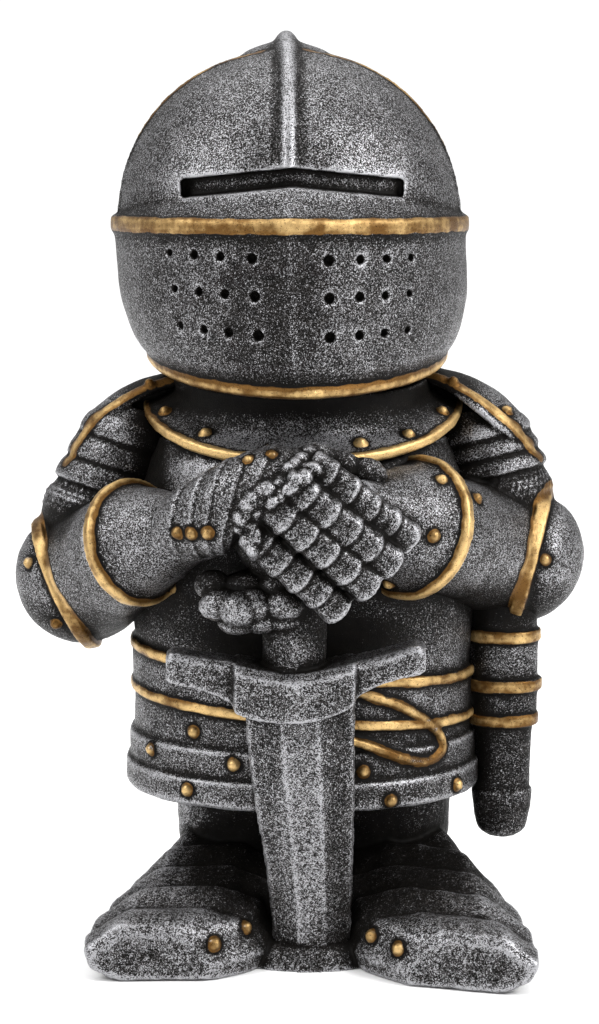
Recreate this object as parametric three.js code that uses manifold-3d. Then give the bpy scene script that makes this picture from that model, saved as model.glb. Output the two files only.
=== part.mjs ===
// A knight garden gnome: a stout little armoured figure in a closed helmet, leaning on a broad sword.
// It is one casting, so every form below is joined into one solid.
// Units are millimetres, +Z is up, the figure faces -Y, and the knight's right arm is at -X.
import * as THREE from 'three';
import { LoftGeometry } from 'three/addons/geometries/LoftGeometry.js';
import { mergeVertices } from 'three/addons/utils/BufferGeometryUtils.js';
import Module from 'manifold-3d';

const wasm = await Module();
wasm.setup();
const V = (x, y, z) => new THREE.Vector3(x, y, z);

// Driving dimensions
const HEAD_X = -2.9; // the head sits a little to the knight's right
const BODY_X = 1;
const FEET_X = 2.6;
const BROW_Z = 206; // widest level of the helmet
const SKULL = { halfWidth: 48.2, depth: 49.5, rise: 49, power: 2.07 };
const DOME_LEVELS = [0, 14.7, 29.4, 44.1, 58.8, 73.5, 88.2]; // rows of the dome, in degrees of lift
const PLATE = 1.2; // how far the upper visor stands proud of the skull
const KEEL = { half: 4, height: 2, root: 1.8 };
const CREST = { angle: 86, spread: 24, half: 3.2, height: 2, shift: -0.9 }; // added to the keel at its top
const HINGE = { y: -14, lean: 0.18 }; // the rear edge of the upper visor, at the brow
const SLOT = { half: 30, top: 221.9, droop: 0.1 };
const BREATHS = { levels: [198.2, 188.2, 177.8], columns: [10.2, 18.6, 25.8, 32.6], taper: 0.03,
  radius: 1.5, depth: 3 };
const CHIN_Z = 160.6; // lower edge of the visor at its front
const COLLAR_Z = 142.4; // lower edge of the collar plate at its front
const HEM_Z = 44.2; // lower edge of the skirt
const BELT = { z: 76, half: 6.2, tilt: -0.08 }; // the belt drops towards +X
const ROLL = 1.3; // how far a rolled edge stands proud
const RIVET = 1.9;
const MIDDLE = V(0, -9.5, 0); // centre of the figure's box, seen from above
const COLOUR = 0x77777a;

// Solids
function solid(geometry) {
  const bare = geometry.index ? geometry.toNonIndexed() : geometry;
  const positions = new THREE.BufferGeometry().setAttribute('position', bare.getAttribute('position'));
  const merged = mergeVertices(positions, 1e-4);
  const vertProperties = merged.attributes.position.array;
  const triVerts = new Uint32Array(merged.index.array);
  return new wasm.Manifold(new wasm.Mesh({ numProp: 3, vertProperties, triVerts }));
}

const joined = (solids) => wasm.Manifold.union(solids);

// Everything on the side of a plane that its normal points away from
function halfSpace(point, normal) {
  const reach = 400;
  const turn = new THREE.Quaternion().setFromUnitVectors(V(0, 0, 1), normal.clone().normalize());
  const box = new THREE.BoxGeometry(reach, reach, reach).translate(0, 0, -reach / 2);
  return solid(box.applyQuaternion(turn).translate(point.x, point.y, point.z));
}

const bend = (value, power) => Math.sign(value) * Math.abs(value) ** (2 / power);
const mix = (a, b, t) => a + (b - a) * t;
const radians = (degrees) => (degrees / 180) * Math.PI;
const steps = (count, from, to) => Array.from({ length: count + 1 }, (_, i) => mix(from, to, i / count));
const turns = (sides) => steps(sides, 0, 360).slice(0, -1);
const middleOf = (points) => points.reduce((sum, p) => sum.add(p), V(0, 0, 0)).divideScalar(points.length);

// The area vector of a closed section; its direction tells which way round the points go.
function turnOf(points) {
  const total = V(0, 0, 0);
  points.forEach((p, i) => total.add(p.clone().cross(points[(i + 1) % points.length])));
  return total;
}

function lofted(sections) {
  const ahead = middleOf(sections[1]).sub(middleOf(sections[0]));
  const forward = turnOf(sections[0]).dot(ahead) > 0;
  const rings = forward ? sections : sections.map((points) => [...points].reverse());
  return solid(new LoftGeometry(rings, { capStart: true, capEnd: true }));
}

// A stack of sections, each [z, halfWidth, front, back, rise, tilt]: the section's level at its front, how
// far it rises towards the sides, and its slope across. The stack has a middle that may lean below the
// brow, a squareness, and a prow, which is a vertical crease down the front.
function shell(rows, { x = 0, y = 0, lean = 0, power = 2, prow = 0 } = {}) {
  const measures = rows.map(([z, halfWidth, front, back, rise = 0, tilt = 0]) => (
    [z, halfWidth, front, back, rise, tilt]));
  const measureAt = (z) => {
    const found = measures.findIndex((row) => row[0] >= z);
    const above = found < 0 ? measures.length - 1 : Math.max(1, found);
    const [low, high] = [measures[above - 1], measures[above]];
    return low.map((value, k) => mix(value, high[k], (z - low[0]) / (high[0] - low[0])));
  };
  // The point at an angle round from -X (0) by the front (90) to +X (180), a little proud of the surface
  const at = (degrees, [z, halfWidth, front, back, rise, tilt], proud = 0) => {
    const across = -(halfWidth + proud) * bend(Math.cos(radians(degrees)), power);
    const s = bend(Math.sin(radians(degrees)), power);
    const nose = s > 0 ? prow * Math.max(0, 1 - Math.abs(across) / 22) : 0;
    return V(x + lean * Math.max(0, BROW_Z - z) + across, y - ((s > 0 ? front : back) + proud) * s - nose,
      z + rise * (1 - Math.abs(s)) + tilt * across);
  };
  const made = (sides) => lofted(measures.map((row) => turns(sides).map((degrees) => at(degrees, row))));
  const point = (degrees, z, proud) => at(degrees, measureAt(z), proud);
  // The same, by the distance across in place of the angle
  const across = (distance, z, proud) => point(180 - (Math.acos(bend(distance / measureAt(z)[1], 4 / power))
    * 180) / Math.PI, z, proud);
  return { made, point, across };
}

// Two directions square to an axis, the first as near to the viewer's side as it can be
function squareTo(axis) {
  const facing = V(0, -1, 0).addScaledVector(axis, axis.y).normalize();
  return [facing, axis.clone().cross(facing)];
}

function around(centre, [u, v], radius, degrees, flatness = 1) {
  return centre.clone().addScaledVector(u, radius * Math.cos(radians(degrees)))
    .addScaledVector(v, flatness * radius * Math.sin(radians(degrees)));
}

// A turned form on an axis, each row [distance along, radius]
function turned(origin, axis, rows, sides) {
  const frame = squareTo(axis);
  return lofted(rows.map(([distance, radius]) => turns(sides).map((degrees) => around(
    origin.clone().addScaledVector(axis, distance), frame, radius, degrees))));
}

// A round bar through points
function bar(points, radius, sides = 5) {
  let side = V(0, 0, 1);
  const last = points.length - 1;
  return lofted(points.map((point, i) => {
    const along = points[Math.min(i + 1, last)].clone().sub(points[Math.max(i - 1, 0)]).normalize();
    if (i === 0 && Math.abs(along.z) > 0.8) side = V(0, 1, 0);
    side = side.clone().addScaledVector(along, -side.dot(along)).normalize();
    return turns(sides).map((degrees) => around(point, [side, along.clone().cross(side)], radius, degrees));
  }));
}

function ball(centre, radii, columns, rows) {
  return solid(new THREE.SphereGeometry(1, columns, rows).rotateX(Math.PI / 2)
    .scale(radii.x, radii.y, radii.z).translate(centre.x, centre.y, centre.z));
}

// A pointed pit, to be cut out
function drill(mouth, inward, radius, depth) {
  const turn = new THREE.Quaternion().setFromUnitVectors(V(0, 1, 0), inward);
  return solid(new THREE.ConeGeometry(radius * 1.5, depth, 5).translate(0, depth / 2, 0)
    .applyQuaternion(turn).translate(mouth.x, mouth.y, mouth.z));
}

const rivet = (at, radius = RIVET) => solid(new THREE.OctahedronGeometry(radius * 1.1, 0)
  .translate(at.x, at.y, at.z));

// Helmet
function domeRow(degrees, proud) {
  const up = Math.sin(radians(degrees));
  const share = (1 - up ** SKULL.power) ** (1 / SKULL.power);
  const depth = (SKULL.depth + proud) * share;
  return [BROW_Z + (SKULL.rise + proud) * up, (SKULL.halfWidth + proud) * share, depth, depth];
}

const dome = (proud) => DOME_LEVELS.map((degrees) => domeRow(degrees, proud));
const NAPE = [[157, 35, 31, 34], [164.6, 37, 34, 38], [165.2, 40, 38, 43.6], [168, 40.6, 39, 44.4],
  [168.8, 40.8, 38.6, 43.4], [182, 45.8, 45, 47.8], [195, 47.9, 48, 49.2]];
const SKULL_SHELL = shell([...NAPE, ...dome(0)], { x: HEAD_X, lean: 0.05 });
const UPPER_VISOR = shell(dome(PLATE), { x: HEAD_X });
const LOWER_VISOR = shell([[CHIN_Z - 0.3, 32, 38, 32, 9], [CHIN_Z, 41.4, 49.4, 40, 9],
  [CHIN_Z + 0.7, 43.6, 51.4, 41, 9], [CHIN_Z + 2.4, 44.8, 51.8, 41, 9], [CHIN_Z + 3, 44.2, 51, 41, 9],
  [168.4, 46.3, 53, 43, 7], [176, 48.4, 55, 44, 5], [185, 49.8, 56.3, 45, 3], [204.4, 51.2, 57, 46],
  [205, 52.2, 58.4, 46.5], [208.2, 52.2, 58.4, 46.5], [209, 50, 56.8, 46], [215, 46.4, 51, 44],
  [218.4, 43, 47, 42]], { x: HEAD_X, lean: 0.05, prow: 2.8 });

// A ridge over the helmet in the middle plane, from the eye slot to the nape; it swells to a crest on top
function keel() {
  const outline = [[-1, 0], [-0.8, 0.45], [-0.35, 1], [0.35, 1], [0.8, 0.45], [1, 0]];
  const rear = DOME_LEVELS.slice(0, -1).reverse().map((degrees) => 180 - degrees);
  const lifts = [...DOME_LEVELS.slice(1), ...rear];
  return lofted(lifts.map((degrees) => {
    const crest = Math.exp(-(((degrees - CREST.angle) / CREST.spread) ** 2));
    const [out, up] = [Math.cos(radians(degrees)), Math.sin(radians(degrees))];
    const [z, , depth] = domeRow(Math.min(degrees, 180 - degrees), PLATE);
    const foot = V(HEAD_X + CREST.shift * crest, -Math.sign(out) * depth, z);
    const height = KEEL.height * Math.min(1, (183 - degrees) / 40) + CREST.height * crest;
    return outline.map(([across, part]) => foot.clone()
      .add(V(across * (KEEL.half + CREST.half * crest), 0, 0))
      .addScaledVector(V(0, -out, up), part > 0 ? part * height : -KEEL.root));
  }));
}

function eyeSlot() {
  const outline = [[-16, 1], [-16, -6], [5, -4.7], [5, 0]]; // [depth, height]
  return lofted(steps(4, -SLOT.half, SLOT.half).map((across) => {
    const face = -(SKULL.depth + PLATE) * Math.sqrt(1 - (across / (SKULL.halfWidth + PLATE)) ** 2);
    const top = SLOT.top - SLOT.droop * Math.abs(across);
    return outline.map(([depth, height]) => V(HEAD_X + 1 + across, face + depth, top + height));
  }));
}

// Four columns of three breaths on each side of the prow
function breaths() {
  const holes = [-1, 1].flatMap((side) => BREATHS.levels.flatMap((z, row) => (
    BREATHS.columns.map((column) => {
      const mouth = LOWER_VISOR.across(side * column * (1 - BREATHS.taper * row), z - 0.4 * side, 2);
      const inward = V(HEAD_X - mouth.x, -mouth.y, 0).normalize();
      return drill(mouth, inward, BREATHS.radius, BREATHS.depth + 2);
    }))));
  return joined(holes);
}

function helmet() {
  const upper = UPPER_VISOR.made(20).intersect(halfSpace(V(0, HINGE.y, BROW_Z), V(0, 1, -HINGE.lean)));
  const lower = LOWER_VISOR.made(22).intersect(halfSpace(V(0, 4, 190), V(0, 1, 0)));
  // The edge of the upper visor goes round the dome where the hinge plane meets it
  const hingeLine = steps(12, 4, 176).map((degrees) => {
    const [across, up] = [Math.cos(radians(degrees)), Math.sin(radians(degrees))];
    const y = HINGE.y + HINGE.lean * SKULL.rise * up;
    const share = Math.sqrt(1 - (y / SKULL.depth) ** 2) + 0.012;
    return V(HEAD_X - SKULL.halfWidth * bend(across, SKULL.power) * share, y,
      BROW_Z + SKULL.rise * bend(up, SKULL.power) * share);
  });
  const pivots = [-1, 1].map((side) => ball(V(HEAD_X + side * 48.4, 9, 205), V(2.6, 5, 5), 6, 3));
  return joined([SKULL_SHELL.made(20), upper, lower, keel()])
    .subtract(joined([eyeSlot(), breaths()]))
    .add(joined([bar(hingeLine, 0.9, 4), ...pivots]));
}

// Body: skirt lames that overlap downwards, the belt with its rolled edges, and the trunk
const beltRow = (offset, proud) => [BELT.z + offset, 49.1 + proud, 39.8 + proud, 38 + proud, 0, BELT.tilt];
const TRUNK = shell([[HEM_Z - 0.3, 44, 34, 33], [HEM_Z, 50.6, 40.8, 39.2], [HEM_Z + 1.4, 51.8, 41.8, 40],
  [52, 51.8, 41.7, 40], [52.3, 50.8, 40.4, 38.8], [60.2, 50.6, 40.2, 38.5], [60.5, 49.6, 39.2, 37.4],
  beltRow(-BELT.half - 1.6, 0), beltRow(-BELT.half - 1, ROLL), beltRow(-BELT.half + 1, ROLL),
  beltRow(-BELT.half + 1.6, 0.6), beltRow(BELT.half - 1.6, 0.6), beltRow(BELT.half - 1, ROLL),
  beltRow(BELT.half + 1, ROLL), beltRow(BELT.half + 1.6, 0), [100, 49.8, 40.2, 38.6], [122, 49.6, 41, 39],
  [136, 46.3, 40.6, 38.4], [146, 42, 38, 35]], { x: BODY_X, power: 2.15 });
const COLLAR = shell([[COLLAR_Z - 1.8, 38, 34, 32, 13.4], [COLLAR_Z - 1.4, 44.6, 41, 38.6, 13.4],
  [COLLAR_Z - 0.6, 46, 42.6, 40, 13.4], [COLLAR_Z + 1.2, 46, 42.6, 40, 13.4],
  [COLLAR_Z + 2, 44.6, 41, 38.4, 13], [151.6, 36.6, 34.6, 34.4, 9.6], [160, 36, 35, 36, 3]],
{ x: BODY_X, power: 2.1 });
// Rivets by their angle round the figure
const COLLAR_STUDS = { z: COLLAR_Z + 5.2, angles: [30, 50, 73, 107, 129, 149] };
const SKIRT_STUDS = [{ z: HEM_Z + 4, angles: [38, 118, 146] }, { z: 56.6, angles: [20, 63, 112] }];

function body() {
  const studs = COLLAR_STUDS.angles.map((degrees) => rivet(COLLAR.point(degrees, COLLAR_STUDS.z)));
  const skirtStuds = SKIRT_STUDS.flatMap(({ z, angles }) => (
    angles.map((degrees) => rivet(TRUNK.point(degrees, z)))));
  return joined([TRUNK.made(18), COLLAR.made(18), ...studs, ...skirtStuds, strapEnd()]);
}

// The free end of the belt: a tongue with rolled edges that comes out from behind the sword
function strapEnd() {
  const outline = [[8, 78.5], [22, 75.4], [31, 70.4], [37.6, 64], [38.6, 58.8], [34, 56.4], [28, 58],
    [20, 61.7], [8, 67.5]]; // [across, z]
  const backing = shell([[40, 48.8, 39.8, 38], [90, 48.8, 39.8, 38]], { x: BODY_X, power: 2.15 });
  const outlineAt = (proud) => outline.map(([across, z]) => backing.across(across, z, proud));
  const edge = new THREE.CatmullRomCurve3(outlineAt(0.8));
  return joined([bar(edge.getPoints(14), ROLL, 4), lofted([-4, 0.8].map(outlineAt))]);
}

// Legs and feet
// Sections across a foot, each [y, inner, ridge, outer, height]. The sides and the ridge that bounds the
// top are measured outwards from the feet's middle. The left foot is longer and points further outwards.
const FOOT = [[25, 9, 25, 29, 10], [21, 4, 28, 36, 20], [8, 3, 32, 39, 31], [-4, 3, 36.5, 43.4, 31],
  [-14, 4, 40.2, 48.4, 27.4], [-14.4, 3.6, 40.8, 49, 28], [-25, 6, 43.8, 53.6, 24],
  [-25.4, 5.6, 44.4, 54.2, 24.6], [-36, 9, 46.8, 57.6, 21.2], [-36.4, 8.6, 47.4, 58.2, 21.8],
  [-46, 12.6, 50.4, 61.6, 18], [-53.4, 19, 53, 62.4, 16], [-56.2, 23, 52.4, 59.4, 12.6]];
const FEET = [{ side: -1, reach: 0.975, splay: 0.02, broad: -1.4 },
  { side: 1, reach: 1.09, splay: 0.26, broad: 2 }];
const FOOT_STUDS = [[-42, 12.6, 11.4], [-50.6, 18.6, 8.6]]; // [y, inner, z]

function foot({ side, reach, splay, broad }) {
  const place = (y, across, z) => V(FEET_X + side * across, y * reach - splay * (across - 36), z);
  const sections = FOOT.map(([y, inner, inRidge, outside, height]) => {
    const more = broad * Math.min(1, Math.max(0, (y + 50) / 30));
    const [ridge, outer] = [inRidge + more, outside + more];
    const outline = [[inner, 0], [inner - 1, 0.35], [inner + 4, 0.78], [mix(inner, ridge, 0.5), 1],
      [ridge, 0.97], [mix(ridge, outer, 0.75), 0.8], [outer, 0.58], [outer - 1, 0.24], [outer - 5, 0]];
    return outline.map(([across, share]) => place(y, across, share * height));
  });
  sections.at(-1).forEach((point) => point.setZ(Math.max(point.z, 0.9)));
  return joined([lofted(sections), ...FOOT_STUDS.map((at) => rivet(place(...at), 2.1))]);
}

function legs() {
  const greave = [[5, 15, 15, 17], [30, 18.4, 17, 17.4], [HEM_Z + 2, 19.6, 20, 19]];
  const greaves = [-1, 1].map((side) => shell(greave, { x: FEET_X + 1.6 + side * 21, y: 5 }).made(10));
  const mound = shell([[0, 24, 30, 20], [5, 23, 28.5, 18], [7.5, 20, 25, 15]],
    { x: FEET_X, y: -14, power: 2.8 });
  const crotch = shell([[6, 12, 14, 14], [HEM_Z + 2, 14, 16, 15]], { x: FEET_X, y: 6 });
  return joined([crotch.made(8), mound.made(14), ...greaves, ...FEET.map(foot)]);
}

// Sword: its tip rests between the feet, and its grip goes up into the hands
const SWORD_Y = { tip: -37, guard: -50 };

// Across the blade, [part of the half width, depth], and across the guard, [part of the half depth, height]
const BLADE_OUTLINE = [[-1, -0.5], [-0.9, -2.6], [-0.3, -4], [0, -6], [0.3, -4], [0.9, -2.6], [1, -0.5],
  [0, 6]];
const GUARD_OUTLINE = [[-0.9, 0], [0.9, 0], [1, 0.5], [0.8, 1], [-0.8, 1], [-1, 0.85]];

function sword() {
  // Blade rows are [z, middle, half width]
  const rows = [[5, 3.6, 10.8], [26, 2.8, 12], [45, 1.7, 13.6], [66, 0.4, 14.9], [82, -0.2, 15.4]];
  const blade = lofted(rows.map(([z, x, half]) => BLADE_OUTLINE.map(([across, depth]) => (
    V(x + across * half, mix(SWORD_Y.tip, SWORD_Y.guard, z / 80) + depth, z)))));
  // Guard rows go from end to end: [x, bottom, top, half depth]
  const guardRows = [[-36.2, 84.6, 91.2, 4.6], [-34.5, 83.8, 92.2, 5.6], [-27, 82, 91, 6],
    [-18.4, 77.6, 89.8, 7], [-17.4, 76.6, 89.6, 9], [-2.2, 74.2, 87.2, 10.6], [14.8, 78.8, 89.8, 9],
    [15.8, 79.8, 90, 7], [25.5, 84.6, 92.4, 6.2], [32, 86.2, 94.2, 5.8], [34.2, 87, 93.4, 4.8]];
  const guard = lofted(guardRows.map(([x, low, high, depth]) => GUARD_OUTLINE.map(([back, up]) => (
    V(x, SWORD_Y.guard + back * depth, mix(low, high, up))))));
  const grip = turned(V(-1.4, -48.5, 80), V(0, 0, 1), [[0, 8.2], [20, 8.8], [36, 8.4]], 8);
  return joined([blade, guard, grip]);
}

// Arms: each has an upper arm of lames over a mail band, a round elbow cop, a forearm and a flared cuff
const ARMS = [
  { shoulder: V(-47.5, 2, 149), elbow: V(-63, 5, 103), lames: [7, 14, 21], swell: 0.85, mail: 19.4,
    cop: V(-62.6, 2, 104.4), copRadius: 20.3, copRim: 17, copAxis: V(-0.91, 0.02, -0.4),
    cuff: V(-45.5, -31, 118.8), cuffRadius: 17, wrist: V(-27, -49, 126), studs: [10, 55, -50] },
  { shoulder: V(51.4, 2, 149), elbow: V(61, 5, 110), lames: [5, 10.4, 15.8], swell: 0.98, mail: 18,
    cop: V(63, 2, 110.5), copRadius: 20, copRim: 11, copAxis: V(0.97, -0.09, -0.24),
    cuff: V(31.2, -36, 123.8), cuffRadius: 19.2, wrist: V(15, -54, 130.5), studs: [35, -20, -75] },
];

function upperArm({ shoulder, elbow, lames, swell, mail }) {
  const down = elbow.clone().sub(shoulder).normalize();
  const frame = squareTo(down);
  const slant = 0.2; // the lames ride higher in front
  // Stations along the arm, [distance, radius]: each lame swells, and its lower edge steps down to the next
  const width = lames[1] - lames[0];
  const stations = [[-4, 10], ...lames.flatMap((edge, i) => {
    const size = mix(swell, 1, i / 2);
    return [[edge - width + 0.6, 13.8 * size], [edge - 0.4, 16.2 * size]];
  }), [lames[2] + 0.5, 15.2], [lames[2] + 5.5, mail], [shoulder.distanceTo(elbow), 16]];
  return lofted(stations.map(([distance, radius]) => turns(10).map((degrees) => {
    const along = distance - slant * radius * Math.cos(radians(degrees));
    return around(shoulder.clone().addScaledVector(down, along), frame, radius, degrees);
  })));
}

function arm(measures) {
  const { elbow, cop, copRadius, copRim, copAxis, cuff, cuffRadius, wrist, studs } = measures;
  const reach = cuff.clone().sub(elbow);
  const forearm = turned(elbow, reach.clone().normalize(), [[0, 19.2], [reach.length(), 15.6]], 10);
  // The cuff flares from the wrist to a rolled edge
  const towards = wrist.clone().sub(cuff).normalize();
  const length = wrist.distanceTo(cuff);
  const flare = turned(cuff, towards, [[-1.6, cuffRadius - 1], [-1.2, cuffRadius + 0.9],
    [0.9, cuffRadius + 1.1], [1.6, cuffRadius - 0.6], [length * 0.4, cuffRadius * 0.78],
    [length * 0.75, cuffRadius * 0.6], [length + 2, 9]], 12);
  const studRing = cuff.clone().addScaledVector(towards, 5);
  const cuffStuds = studs.map((degrees) => (
    rivet(around(studRing, squareTo(towards), cuffRadius * 0.9, degrees))));
  // The cop is the outer part of a ball, from a rolled rim to its pole
  const axis = copAxis.clone().normalize();
  const ballRow = (lift, proud = 0) => [(copRadius + proud) * Math.sin(radians(lift)),
    (copRadius + proud) * Math.cos(radians(lift))];
  const cup = turned(cop, axis, [ballRow(copRim - 8, -3), ballRow(copRim - 5), ballRow(copRim - 4, 1.4),
    ballRow(copRim + 4, 1.4), ballRow(copRim + 5), ballRow(45), ballRow(70), ballRow(86)], 11);
  return joined([upperArm(measures), forearm, flare, cup, ...cuffStuds]);
}

// Shoulder plates: each is a shell over the shoulder, widest halfway down, with rolled edges front and back
const PAULDRONS = [V(-29.8, 4, 134.6), V(32.2, 4, 135.9)]; // centres
const PAULDRON_RADII = V(38, 29, 29.2);
// From front to back, [part of the half depth, proud]
const PAULDRON_OUTLINE = [[-1, -3], [-1.08, 0.2], [-1.03, 1.5], [-0.9, 1.5], [-0.8, 0], [0, 0], [0.8, 0],
  [0.9, 1.5], [1.03, 1.5], [1.08, 0.2], [1, -3], [0, -5]];

function pauldron(centre) {
  const side = Math.sign(centre.x);
  return lofted(steps(7, 86, 8).map((degrees) => {
    const [out, up] = [Math.cos(radians(degrees)), Math.sin(radians(degrees))];
    const halfDepth = 8 + 8 * Math.sin(radians(degrees * 2));
    return PAULDRON_OUTLINE.map(([part, proud]) => {
      const depth = part * halfDepth;
      const share = Math.sqrt(1 - (depth / PAULDRON_RADII.y) ** 2);
      return centre.clone().add(V(side * out * (PAULDRON_RADII.x * share + proud), depth,
        up * (PAULDRON_RADII.z * share + proud)));
    });
  }));
}

// Hands: the knight's right hand lies on top, its four fingers running down to +X
const KNUCKLES = [V(-14.1, -62, 127), V(-8.6, -64, 134.5), V(-3.4, -63.5, 140), V(2, -60, 145)];
const TIPS = [V(10, -61, 104.5), V(18.6, -62, 111), V(25, -60.5, 117), V(29.5, -56, 123.5)];

// The back of the hand, in lames that widen from the wrist to the knuckles: [place, half width, half depth]
const HAND_BACK = [[0, 8.6, 8.6], [0.26, 11, 9.2], [0.28, 10, 8.2], [0.49, 13.6, 9], [0.51, 12.6, 8],
  [0.72, 16, 8.6], [0.74, 15, 7.6], [1, 17.4, 7]];

// A row of overlapping scales along a bowed line, each a step wider at its far edge
function finger(root, tip, across, { count, half = 3.9, thick = 4, bow = 2.5 }) {
  const along = tip.clone().sub(root).normalize();
  const out = along.clone().cross(across).normalize();
  if (out.y > 0) out.negate();
  const length = root.distanceTo(tip);
  const outline = [[-1, -0.8], [-0.8, 0.55], [0, 1.05], [0.8, 0.55], [1, -0.8]];
  const section = (t, size) => outline.map(([a, o]) => root.clone().addScaledVector(along, length * t)
    .addScaledVector(out, bow * Math.sin(Math.PI * t) + thick * o * size)
    .addScaledVector(across, a * half * mix(1, size, 0.5)));
  const scales = steps(count - 1, 0, 1 - 1 / count);
  const scale = (t) => [section(t + 0.01, 0.8), section(t + 0.9 / count, 1.12)];
  return lofted([section(-0.06, 0.5), ...scales.flatMap(scale), section(1.03, 0.5)]);
}

function hands() {
  const across = KNUCKLES[3].clone().sub(KNUCKLES[0]).normalize();
  const over = KNUCKLES.map((root, i) => finger(root, TIPS[i], across, { count: 5 }));
  const under = [[V(-3, -57, 108), V(-18, -55, 104.5)], [V(-4, -54, 102), V(-20, -51, 99)]]
    .map(([root, tip]) => finger(root, tip, V(0.2, 0, 0.98), { count: 2, half: 3.6, bow: 1 }));
  const thumb = finger(V(1, -54, 144.5), V(20, -52.5, 137.5), V(0.4, 0, 0.9), { count: 3, half: 4 });
  const palm = ball(V(5, -50, 125), V(24, 13, 18), 8, 5);
  const wrist = V(-29, -49, 125.6);
  const row = V(-7.5, -58, 136.2);
  const depth = across.clone().cross(row.clone().sub(wrist).normalize());
  const back = lofted(HAND_BACK.map(([t, half, thick]) => turns(10).map((degrees) => (
    around(wrist.clone().lerp(row, t), [across, depth], half, degrees, thick / half)))));
  return joined([palm, back, ...over, ...under, thumb]);
}

// Dagger in its sheath, at the knight's left hip
function dagger() {
  const sheath = shell([[28.3, 4, 4, 4], [30.5, 6.8, 6, 6], [42, 8.9, 7, 7], [42.8, 8.2, 6.6, 6.6],
    [61.5, 8.6, 7, 7], [62, 9.8, 8.4, 8.4], [64.8, 10, 8.6, 8.6], [65.3, 9.2, 8, 8], [71.8, 9.8, 8.2, 8.2],
    [72.2, 11, 9.4, 9.4], [75.4, 11, 9.4, 9.4], [75.8, 9.4, 8, 8], [86.4, 9.8, 8.2, 8.2],
    [86.8, 10.8, 9, 9], [89.6, 10.8, 9, 9], [90, 9.8, 8, 8], [98, 9.8, 8, 8]], { x: 59.8, y: -5 });
  const hanger = turned(V(42, -3, 69), V(1, 0, 0), [[0, 6], [16, 6]], 5);
  return joined([sheath.made(8), hanger]);
}

// The whole casting, without the closed pockets that are left where forms meet inside it
const forms = [helmet(), body(), legs(), sword(), hands(), dagger(), ...ARMS.map(arm),
  ...PAULDRONS.map(pauldron)];
const pieces = joined(forms).decompose();
const figure = pieces.reduce((a, b) => (a.volume() > b.volume() ? a : b));

function toGeometry(manifold) {
  const mesh = manifold.getMesh();
  const geometry = new THREE.BufferGeometry();
  geometry.setAttribute('position', new THREE.BufferAttribute(new Float32Array(mesh.vertProperties), 3));
  geometry.setIndex(new THREE.BufferAttribute(new Uint32Array(mesh.triVerts), 1));
  geometry.computeVertexNormals();
  return geometry;
}

const knight = new THREE.Mesh(toGeometry(figure), new THREE.MeshStandardMaterial({
  color: COLOUR, roughness: 0.45, metalness: 0.6 }));
knight.name = 'knight_figure';
knight.position.set(-MIDDLE.x, -MIDDLE.y, -MIDDLE.z);

const group = new THREE.Group();
group.add(knight);
export default group;
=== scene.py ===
# %% [markdown]
# # A knight garden gnome
#
# The real object is one hollow resin casting: a stout little armoured figure in a closed helmet, resting
# its hands on a broad sword. It is painted black, brushed with silver so that the colour catches on all
# that stands up, and its rolled edges and rivets are picked out in gold. The lesson builds it in the order
# a sculptor would: helmet, body, legs, sword, arms and hands, then the paint, the studio and the camera.

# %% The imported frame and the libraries
import math

import bmesh
import bpy
import numpy as np
from mathutils import Matrix, Vector, noise as clay
from mathutils.bvhtree import BVHTree
from mathutils.kdtree import KDTree


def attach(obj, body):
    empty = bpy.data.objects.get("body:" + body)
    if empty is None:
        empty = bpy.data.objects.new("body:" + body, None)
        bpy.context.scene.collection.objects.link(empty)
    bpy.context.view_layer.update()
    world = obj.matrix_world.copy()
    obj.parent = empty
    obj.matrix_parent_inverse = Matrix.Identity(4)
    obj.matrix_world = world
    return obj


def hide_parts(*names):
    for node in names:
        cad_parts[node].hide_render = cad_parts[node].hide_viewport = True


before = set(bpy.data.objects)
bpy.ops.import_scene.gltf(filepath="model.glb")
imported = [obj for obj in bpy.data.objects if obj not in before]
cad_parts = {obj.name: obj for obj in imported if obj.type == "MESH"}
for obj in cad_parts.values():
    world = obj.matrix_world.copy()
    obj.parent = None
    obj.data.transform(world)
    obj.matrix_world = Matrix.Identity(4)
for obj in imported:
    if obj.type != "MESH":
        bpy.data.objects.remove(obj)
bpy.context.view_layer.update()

# %% [markdown]
# The forms are drawn in millimetres, with the knight's front towards -Y, in the frame of the figure's
# drawing. That frame lies 9.5 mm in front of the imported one, so each piece is moved back and made metres
# at the very end.

# %% Driving dimensions
MM = 0.001
SET_BACK = 9.5
GRAIN = 0.6
CLOSE_GRAIN = 0.5

HEAD_X = -2.9
BODY_X = 1
FEET_X = 2.6
BROW_Z = 206
CHIN_Z = 160.6
COLLAR_Z = 142.4
HEM_Z = 44.2
PLATE = 1.2
ROLL = 1.3
SKULL = {"half": 48.2, "depth": 49.5, "rise": 49, "power": 2.12}
BELT = {"z": 76, "half": 6.2, "tilt": -0.08}


# %% [markdown]
# A plate edge is drawn as a few rows of measures. A monotone cubic runs through them without overshooting,
# so a rolled edge stays a soft roll and a step stays a step, as in a casting taken from sculpted clay.

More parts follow.
